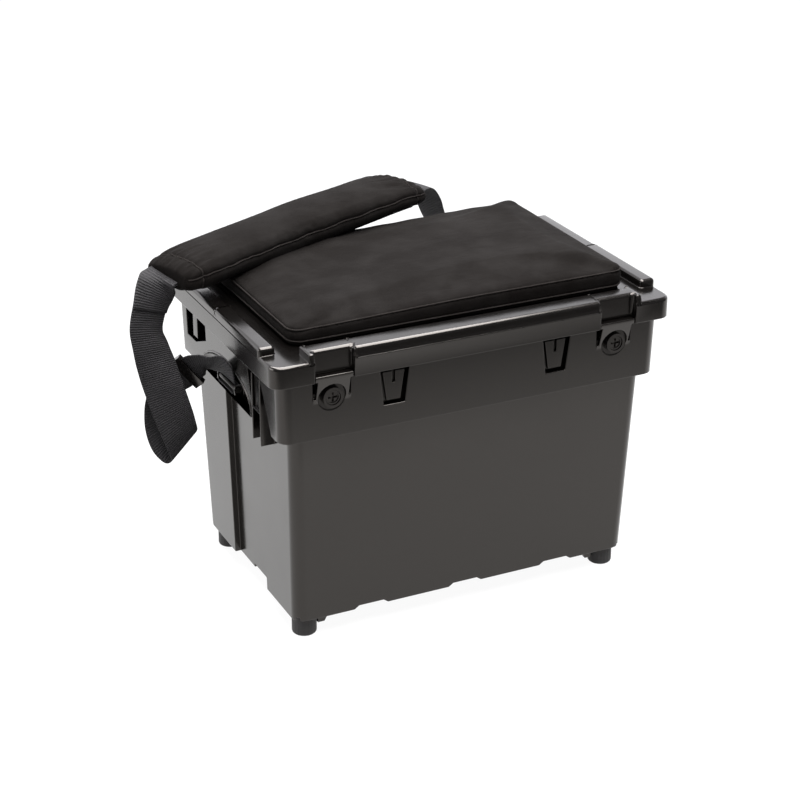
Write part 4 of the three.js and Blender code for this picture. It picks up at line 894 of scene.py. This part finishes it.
def ruffle_pad(pad, sizes):
    """Gathers that die out from each end seam along the sleeve, and slow dents of soft foam."""
    along, across, middle = pad_axes(sizes)
    for vertex in pad.data.vertices:
        away = vertex.co - middle
        s = away.dot(along)
        a = away.dot(across)
        share = s * 2 / sizes.length
        b = away.z - share * sizes.rise + droop_at(sizes, share)
        to_end = sizes.length / 2 - abs(s)
        fade = math.exp(-max(0.0, to_end - sizes.cuff) / 0.022) * clamped(to_end / 0.006)
        ripple = math.sin(a * 520 + math.sin(s * 90) * 1.6) * 0.6
        ripple += math.sin(a * 870 + s * 140) * 0.4
        slow = math.sin(s * 31 + a * 18) * 0.5 + math.sin(s * 57 - a * 44 + 1.3) * 0.3
        lift = 0.0011 * ripple * fade + 0.0008 * slow * (1 - fade)
        beyond = max(0.0, abs(a) / (sizes.width / 2) - 0.75) * 4
        edge = math.sin(s * 310 + a * 60) * 0.00045 * beyond
        vertex.co.z += lift * (1 if b > 0 else -0.6)
        vertex.co += across * (edge if a > 0 else -edge)
    pad.data.update()


# The webbing. A row of a route is a middle point, the direction of the tape's width there
# and half its width, in millimetres from the place that spot starts at.

LEFT_ROUTE = [
    (-289, 49, 369.6, 0.7, -0.25, -0.45, 22),
    (-298.4, 46, 349.1, 0.86, 0.2, -0.35, 22),
    (-304.9, 43, 324.3, 0.93, 0.28, -0.24, 22),
    (-302.3, 40, 307.2, 0.98, 0.18, -0.1, 22),
    (-296.8, 37, 279.9, 0.99, -0.05, 0.1, 22),
    (-291, 33, 253.9, 0.91, -0.3, 0.27, 22),
    (-283.9, 29, 226.1, 0.88, -0.21, 0.42, 22),
    (-276.1, 27, 198.3, 0.78, -0.06, 0.62, 22),
    (-272.2, 31, 182.6, 0.71, 0.01, 0.7, 22),
    (-277.5, 38, 177.7, 0.69, 0.03, 0.72, 22),
    (-286.1, 45, 187.7, 0.78, -0.06, 0.62, 22),
    (-289, 51, 205.6, 0.87, -0.19, 0.46, 22),
    (-287, 55, 223, 0.98, -0.15, 0.15, 21),
    (-282, 56, 240, 0.85, -0.13, -0.5, 19),
    (-273, 52, 254, 0.6, -0.12, -0.79, 17),
    (-263.5, 44, 263.5, 0.42, -0.12, -0.9, 17),
    (-256.5, 37, 271.5, 0.42, -0.12, -0.9, 17),
    (-250.5, 29, 277.3, 0.35, 0.25, -0.9, 17),
    (-245, 20, 282, 0.2, 0.75, -0.62, 24),
    (-238.5, 9, 286, 0.05, 0.86, -0.6, 29),
    (-232.5, 3, 280, 0, 0.9, -0.42, 29),
]
RIGHT_ROUTE = [
    (104, 201, 386, -0.37, 0.93, 0, 22),
    (117, 205, 370, -0.37, 0.93, 0, 22),
    (122, 206, 355, -0.37, 0.93, 0, 22),
    (127, 206, 340, -0.35, 0.93, 0.05, 22),
    (140, 209, 310, -0.2, 0.9, 0.25, 22),
    (160, 213, 284, 0.1, 0.6, 0.7, 22),
    (188, 215, 262, 0.25, 0.2, 0.9, 22),
    (222, 210, 244, 0.2, 0, 1, 22),
    (252, 190, 232, 0.1, 0, 1, 22),
    (273, 158, 226, 0, 0, 1, 22),
    (282, 122, 228, -0.1, 0, 1, 22),
    (279, 90, 238, -0.3, 0.1, 1, 21),
    (267, 54, 251, -0.4, 0.4, 0.9, 20),
    (252, 28, 264.3, -0.2, 0.8, 0.6, 19),
    (239, 12, 272.3, 0, 1, 0.15, 20),
    (231, 5, 271.3, 0, 1, 0, 21),
]


def pad_tip(sizes, end):
    """Two stations where the tape runs straight out of one end of the pad."""
    along, across, middle = pad_axes(sizes)
    aside = sizes.tape_aside if end < 0 else 0.0
    rows = []
    for out in (-0.016, -0.006, 0.004):
        share = end * (1 + 2 * out / sizes.length)
        place = middle + along * (share * sizes.length / 2) + across * aside
        place.z += share * sizes.rise - droop_at(sizes, share) - 0.001
        x, y, z = (place - box_middle) / MM
        wide = across * end - Vector((0, 0, 0.2 if end < 0 else 0))
        rows.append((x, y, z, *wide, 22))
    return rows


def bar_loop(side):
    """The turn that the tape makes round its bar in the collar."""
    low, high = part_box("strap_bar_left" if side < 0 else "strap_bar_right")
    x, y, z = ((low + high) / 2 - box_middle) / MM
    reach = (high.z - low.z) / 2 / MM + 1.6
    rows = []
    for i in range(5):
        angle = math.pi / 2 - i / 4 * math.pi
        round_x, round_z = -side * reach * math.cos(angle), reach * math.sin(angle)
        rows.append((x + round_x, y, z + round_z, 0, 1, 0, 21))
    rows.append((x + side * 4.5, y, z - reach, 0, 1, 0, 21))
    return rows


def curve_points(rows, per_span):
    """Middle points, width directions, half widths and lengths along a smooth route."""
    places = [spot(*row[:3]) for row in rows]
    wides = [Vector(row[3:6]).normalized() for row in rows]
    reaches = [row[6] * MM for row in rows]
    samples = []
    last = len(places) - 1
    for i in range(last):
        p1, p2 = places[i], places[i + 1]
        p0 = places[i - 1] if i else p1 * 2 - p2
        p3 = places[i + 2] if i + 2 <= last else p2 * 2 - p1
        spans = ((p0, p1), (p1, p2), (p2, p3))
        d01, d12, d23 = (max(1e-6, (b - a).length ** 0.5) for a, b in spans)
        m1 = (p2 - p1) + d12 * ((p1 - p0) / d01 - (p2 - p0) / (d01 + d12))
        m2 = (p2 - p1) + d12 * ((p3 - p2) / d23 - (p3 - p1) / (d12 + d23))
        for k in range(per_span + (i == last - 1)):
            t = k / per_span
            h00, h10 = 2 * t**3 - 3 * t**2 + 1, t**3 - 2 * t**2 + t
            h01, h11 = 3 * t**2 - 2 * t**3, t**3 - t**2
            place = p1 * h00 + m1 * h10 + p2 * h01 + m2 * h11
            ease = t * t * (3 - 2 * t)
            reach = reaches[i] + (reaches[i + 1] - reaches[i]) * ease
            samples.append([place, wides[i].lerp(wides[i + 1], ease), reach, 0.0])
    for _ in range(per_span // 2):
        smoothed = [samples[0][1]]
        for before, here, after in zip(samples, samples[1:], samples[2:]):
            smoothed.append((before[1] + here[1] * 2 + after[1]) / 4)
        smoothed.append(samples[-1][1])
        for sample, wide in zip(samples, smoothed):
            sample[1] = wide
    for j in range(1, len(samples)):
        samples[j][3] = samples[j - 1][3] + (samples[j][0] - samples[j - 1][0]).length
    return samples


def build_tape(name, rows, sizes, lift=0.0, until=None):
    """A flat tape laid along its route, slightly cupped, with a rolled edge.

    lift moves it outwards off the route, and until ends it early.
    """
    samples = curve_points(rows, sizes.per_span)
    if until is not None:
        samples = [sample for sample in samples if sample[3] <= until]
    count, across = len(samples), sizes.across
    deselect_all()
    bpy.ops.mesh.primitive_grid_add(
        x_subdivisions=count - 1, y_subdivisions=across, size=2, calc_uvs=True
    )
    tape = added(name)
    frames = []
    for j, (place, wide, reach, run) in enumerate(samples):
        before, after = samples[max(0, j - 1)][0], samples[min(count - 1, j + 1)][0]
        forward = (after - before).normalized()
        side = wide.normalized()
        out = forward.cross(side).normalized()
        if out.dot(Vector((-1, -0.4, 0.3))) < 0:
            out = -out
        frames.append((place + out * lift, side, out, reach, run))
    places = {}
    for vertex in tape.data.vertices:
        j = round((vertex.co.x + 1) / 2 * (count - 1))
        v = vertex.co.y
        place, side, out, reach, run = frames[j]
        cup = 0.0006 * (v * v - 0.4) * math.sin(run * 40)
        places[vertex.index] = (run, v * reach)
        vertex.co = place + side * (v * reach) + out * cup
    chart = tape.data.uv_layers.active.data
    for corner in tape.data.loops:
        chart[corner.index].uv = places[corner.vertex_index]
    thickness, sharp = sizes.thickness, math.radians(50)
    apply_modifier(tape, "SOLIDIFY", "woven", thickness=thickness, offset=0.0, use_even_offset=True)
    bevel_sharp(tape, "selvedge", 0.0005, sharp)
    smooth(tape, sharp)
    return tape


# Operators


def rounded_copy(name, part, fine, broad, wanted):
    """A copy of a packed moulding, rounded broadly where wanted says so and finely elsewhere."""
    data = nodes[part].data.copy()
    data.transform(nodes[part].matrix_world)
    obj = bpy.data.objects.new(name, data)
    data.name = name
    bpy.context.scene.collection.objects.link(obj)
    make_active(obj)
    bpy.ops.object.mode_set(mode="EDIT")
    bpy.ops.mesh.select_all(action="SELECT")
    bpy.ops.mesh.remove_doubles(threshold=0.00002)
    bpy.ops.mesh.dissolve_limited(angle_limit=math.radians(0.6))
    mesh = bmesh.from_edit_mesh(data)
    surface = BVHTree.FromBMesh(mesh)
    bpy.ops.mesh.select_mode(type="EDGE")
    sharp = math.radians(32)

    def rounded(edge):
        return len(edge.link_faces) == 2 and edge.calc_face_angle() > sharp and wanted(edge)

    choose(obj, mesh, mesh.edges, rounded)
    bpy.ops.mesh.bevel(offset=broad, segments=4)
    finish_edit()
    bevel_sharp(obj, "fine", fine, sharp, use_clamp_overlap=False)
    for vertex in data.vertices:
        place, _, _, distance = surface.find_nearest(vertex.co)
        if distance > broad * 0.7:
            vertex.co = place
    smooth(obj, math.radians(38))
    apply_modifier(obj, "WEIGHTED_NORMAL", "flats", weight=100, keep_sharp=True)
    return obj


def flatten_front(shell):
    """Brings the lid's front back into one plane where the broad rounding reached it."""
    front = min(v.co.y for v in shell.data.vertices)
    for vertex in shell.data.vertices:
        co = vertex.co
        aside, up = abs(co.x - box_middle.x), co.z - DECK
        beside_notch = 0.148 < aside < 0.1925
        if co.y < front + 0.0042 and aside < 0.1992 and not beside_notch and -0.0045 < up < 0.0008:
            co.y = front


class SEATBOX_OT_mouldings(Operator):
    """Rounds and finishes the tub, the collar and the lid"""

    bl_idname = "seatbox.mouldings"
    bl_label = "Mouldings"

    def execute(self, context):
        finish = context.scene.seatbox_finishes
        dull = finish.box_roughness
        material = plastic_material("moulded_box", finish.box, dull, 0.00006, 0.15)

        def on_rims(edge):
            heads = [v.co for v in edge.verts]
            if all(co.z > DECK + 0.004 for co in heads):
                return True
            upright = abs(heads[0].z - heads[1].z) > 0.6 * edge.calc_length()
            for co in heads:
                aside = abs(abs(co.x - box_middle.x) - NOTCH_MIDDLE)
                if aside >= NOTCH_REACH or co.y >= box_middle.y - 0.15:
                    return False
            return upright and max(co.z for co in heads) > DECK

        def nowhere(edge):
            return False

        for name, body, broad, wanted in (
            ("tub", "box", 0.001, nowhere),
            ("collar", "box", 0.001, nowhere),
            ("lid", "lid", 0.0034, on_rims),
        ):
            shell = rounded_copy(f"{name}_shell", name, 0.0008, broad, wanted)
            if name == "lid":
                flatten_front(shell)
            dress(shell, material)
            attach(shell, body)
            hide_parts(name)
        return {"FINISHED"}


class SEATBOX_OT_hardware(Operator):
    """Finishes the feet, the locks, the hinges, the strap bars and all screws"""

    bl_idname = "seatbox.hardware"
    bl_label = "Hardware"

    def execute(self, context):
        finish = context.scene.seatbox_finishes
        lock = plastic_material("lock_plastic", finish.lock, 0.2, 0.00006, 0.08, 0.6)
        rubber = plastic_material("foot_rubber", finish.rubber, 0.62, 0.0004, 0.6, 0.3)
        steel = steel_material("zinc_steel", finish.steel, 0.34)
        # The strap bars get near-black plastic so that they stay as dark as the shaded hollow round
        # them: painted shade.
        bar_dark = plastic_material("black_coat", finish.lock, 0.4, 0.00008, 0.3)
        ply = plywood_material("bare_ply", finish.ply)
        for name in nodes:
            if name.startswith(("lock_bezel", "lock_bush", "lock_barrel", "strap_slider")):
                paint(name, lock)
            elif name == "cushion_board":
                paint(name, ply)
            elif name.startswith("strap_bar"):
                paint(name, bar_dark)
            elif "screw" in name or name.startswith(("lock_cam", "lock_keeper", "hinge_")):
                paint(name, steel)
            elif name.startswith("foot_"):
                paint(name, rubber)
        return {"FINISHED"}


class SEATBOX_OT_cushion(Operator):
    """Makes the seat's stuffed cover and its seam"""

    bl_idname = "seatbox.cushion"
    bl_label = "Seat cushion"

    def execute(self, context):
        sizes = context.scene.seatbox_cushion
        cover = context.scene.seatbox_finishes.cloth
        cloth = cloth_material("seat_cloth", cover)
        seat, middle, half_x, half_y, top = build_cushion(sizes)
        dress(seat, cloth)
        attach(seat, "lid")
        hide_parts("cushion")
        welt = build_cushion_seam(seat, middle, half_x, half_y, top, sizes)
        smooth(welt)
        # The seat's welt is painted lighter: a painted highlight along the seam.
        dress(welt, highlit_welt_material("seam_welt_highlight", cover))
        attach(welt, "lid")
        return {"FINISHED"}


class SEATBOX_OT_shoulder_pad(Operator):
    """Makes the padded sleeve of the shoulder strap"""

    bl_idname = "seatbox.shoulder_pad"
    bl_label = "Shoulder pad"

    def execute(self, context):
        sizes = context.scene.seatbox_pad
        pad, seams = build_pad(sizes)
        cover = context.scene.seatbox_finishes.cloth
        dress(pad, cloth_material("pad_cloth", cover))
        # The pad's welts are painted lighter: a painted highlight along its seams.
        dress(seams, highlit_welt_material("pad_welt_highlight", cover))
        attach(seams, "lid")
        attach(pad, "lid")
        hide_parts("shoulder_pad")
        return {"FINISHED"}


class SEATBOX_OT_webbing(Operator):
    """Makes both lengths of the shoulder strap's webbing"""

    bl_idname = "seatbox.webbing"
    bl_label = "Webbing"

    def execute(self, context):
        sizes = context.scene.seatbox_webbing
        pad = context.scene.seatbox_pad
        material = webbing_material("strap_tape", context.scene.seatbox_finishes.tape)
        for name, end, route in (("left", -1, LEFT_ROUTE), ("right", 1, RIGHT_ROUTE)):
            rows = [*pad_tip(pad, end), *route, *bar_loop(end)]
            tape = build_tape(f"tape_{name}", rows, sizes)
            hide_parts(f"strap_{name}")
            layers = [tape]
            if name == "left":
                lift = sizes.thickness + 0.0002
                layers.append(build_tape("tape_fold", rows, sizes, lift, sizes.fold))
            for layer in layers:
                dress(layer, material)
                if name == "left":
                    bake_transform(layer)
                else:
                    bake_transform(layer)
        return {"FINISHED"}


def lamp(name, place, target, size, power):
    data = bpy.data.lights.new(name, "AREA")
    data.shape = "RECTANGLE"
    data.size, data.size_y = size
    data.energy = power
    obj = bpy.data.objects.new(name, data)
    bpy.context.scene.collection.objects.link(obj)
    obj.location = place
    obj.rotation_euler = (Vector(target) - Vector(place)).to_track_quat("-Z", "Y").to_euler()
    return obj


def backdrop_material(colour, near_glow, far_glow):
    """A floor that the camera sees almost pure white, with a faint shadow.

    Where gloss mirrors it, it is bright near the box and dim towards the camera.
    """
    made, tree, shader, coordinates = fresh_material("pale_floor")
    set_inputs(shader, Base_Color=(*colour, 1), Roughness=0.9, Specular_IOR_Level=0.1)
    split = new_node(tree, "ShaderNodeSeparateXYZ", (-700, 0))
    tree.links.new(coordinates.outputs["Object"], split.inputs[0])
    mirrored = mapped(tree, (-450, 0), split.outputs["Y"], *FLOOR_FADE, far_glow, near_glow)
    rays = new_node(tree, "ShaderNodeLightPath", (-450, 400))
    camera, glossy = rays.outputs["Is Camera Ray"], rays.outputs["Is Glossy Ray"]
    both = math_node(tree, "MAXIMUM", (-200, 500), camera, glossy)
    shown = math_node(tree, "MAXIMUM", (0, 500), both, rays.outputs["Is Transmission Ray"])
    share = math_node(tree, "MULTIPLY", (200, 400), shown, FLOOR_SHARE)
    step = math_node(tree, "SUBTRACT", (-200, 200), FLOOR_SHOWN, mirrored)
    strength = math_node(tree, "MULTIPLY_ADD", (0, 200), camera, step, mirrored)
    glow = new_node(tree, "ShaderNodeEmission", (300, 200))
    tree.links.new(strength, glow.inputs["Strength"])
    mix = new_node(tree, "ShaderNodeMixShader", (500, 150))
    tree.links.new(share, mix.inputs[0])
    tree.links.new(shader.outputs[0], mix.inputs[1])
    tree.links.new(glow.outputs[0], mix.inputs[2])
    out = next(n for n in tree.nodes if n.type == "OUTPUT_MATERIAL")
    tree.links.new(mix.outputs[0], out.inputs["Surface"])
    return made


def build_room(sizes):
    """A white room to the camera, and to the gloss one that is bright behind the box."""
    world = bpy.data.worlds.new("soft_room")
    world.use_nodes = True
    tree = world.node_tree
    tree.nodes.clear()
    rays = new_node(tree, "ShaderNodeLightPath", (-600, 200))
    camera, clear = rays.outputs["Is Camera Ray"], rays.outputs["Is Transmission Ray"]
    seen = math_node(tree, "MAXIMUM", (-400, 200), camera, clear)
    direction = new_node(tree, "ShaderNodeTexCoord", (-800, -100))
    split = new_node(tree, "ShaderNodeSeparateXYZ", (-600, -100))
    tree.links.new(direction.outputs["Generated"], split.inputs[0])
    level = mapped(tree, (-400, -250), split.outputs["Y"], -0.3, 0.6, sizes.front, sizes.back)
    fade = mapped(tree, (-400, -100), split.outputs["Z"], 0.3, 0.8, 0.0, 1.0)
    to_zenith = math_node(tree, "SUBTRACT", (-300, -400), sizes.zenith, level)
    sky = math_node(tree, "MULTIPLY_ADD", (-200, -100), fade, to_zenith, level)
    step = math_node(tree, "SUBTRACT", (-100, 100), ROOM_SHOWN, sky)
    strength = math_node(tree, "MULTIPLY_ADD", (-50, 200), seen, step, sky)
    background = new_node(tree, "ShaderNodeBackground", (0, 0))
    background.inputs[0].default_value = ROOM_COLOUR
    tree.links.new(strength, background.inputs[1])
    out = new_node(tree, "ShaderNodeOutputWorld", (200, 0))
    tree.links.new(background.outputs[0], out.inputs[0])
    return world


def build_camera(sizes):
    """The photograph's camera."""
    data = bpy.data.cameras.new("photo_view")
    camera = bpy.data.objects.new("photo_view", data)
    bpy.context.scene.collection.objects.link(camera)
    data.sensor_width = SENSOR_WIDTH
    data.lens = sizes.lens
    a, e = sizes.azimuth, sizes.elevation
    forward = -Vector((math.sin(a) * math.cos(e), -math.cos(a) * math.cos(e), math.sin(e)))
    turn = forward.to_track_quat("-Z", "Y").to_matrix() @ Matrix.Rotation(-sizes.roll, 3, "Z")
    camera.matrix_world = Matrix.Translation(spot(*CAMERA_PLACE)) @ turn.to_4x4()
    return camera


class SEATBOX_OT_stage(Operator):
    """Sets the floor, the soft lamps and the camera"""

    bl_idname = "seatbox.stage"
    bl_label = "Stage"

    def execute(self, context):
        sizes = context.scene.seatbox_stage
        deselect_all()
        bpy.ops.mesh.primitive_plane_add(size=30, location=(0, 0, 0))
        floor = added("floor")
        apply_place(floor)
        dress(floor, backdrop_material(sizes.floor, sizes.near_floor, sizes.far_floor))
        context.scene.world = build_room(sizes)
        lamp("top", (0.05, -0.1, 1.9), (0.05, -0.1, 0), (1.7, 2.8), sizes.top_lamp)
        lamp("left", (-2.3, 0.3, 1.0), (-0.2, 0, 0.2), (1.6, 1.2), sizes.left_lamp)
        context.scene.camera = build_camera(sizes)
        context.scene.view_settings.view_transform = "Standard"
        return {"FINISHED"}


class SEATBOX_PT_panel(Panel):
    bl_label = "Seat box"
    bl_space_type = "VIEW_3D"
    bl_region_type = "UI"
    bl_category = "Seat box"

    def draw(self, context):
        layout = self.layout
        for operator in OPERATORS:
            layout.operator(operator.bl_idname)


OPERATORS = (
    SEATBOX_OT_mouldings,
    SEATBOX_OT_hardware,
    SEATBOX_OT_cushion,
    SEATBOX_OT_shoulder_pad,
    SEATBOX_OT_webbing,
    SEATBOX_OT_stage,
)
PROPERTY_GROUPS = {
    "seatbox_finishes": SeatBoxFinishes,
    "seatbox_cushion": SeatCushionSizes,
    "seatbox_pad": ShoulderPadSizes,
    "seatbox_webbing": WebbingSizes,
    "seatbox_stage": StageSizes,
}


def register():
    for made in (*PROPERTY_GROUPS.values(), *OPERATORS, SEATBOX_PT_panel):
        bpy.utils.register_class(made)
    for name, group in PROPERTY_GROUPS.items():
        setattr(bpy.types.Scene, name, PointerProperty(type=group))


def unregister():
    for name in PROPERTY_GROUPS:
        delattr(bpy.types.Scene, name)
    for made in reversed((*PROPERTY_GROUPS.values(), *OPERATORS, SEATBOX_PT_panel)):
        bpy.utils.unregister_class(made)


def main():
    register()
    bpy.ops.seatbox.stage()
    bpy.ops.seatbox.mouldings()
    bpy.ops.seatbox.hardware()
    bpy.ops.seatbox.cushion()
    bpy.ops.seatbox.shoulder_pad()
    bpy.ops.seatbox.webbing()


if __name__ == "__main__":
    main()
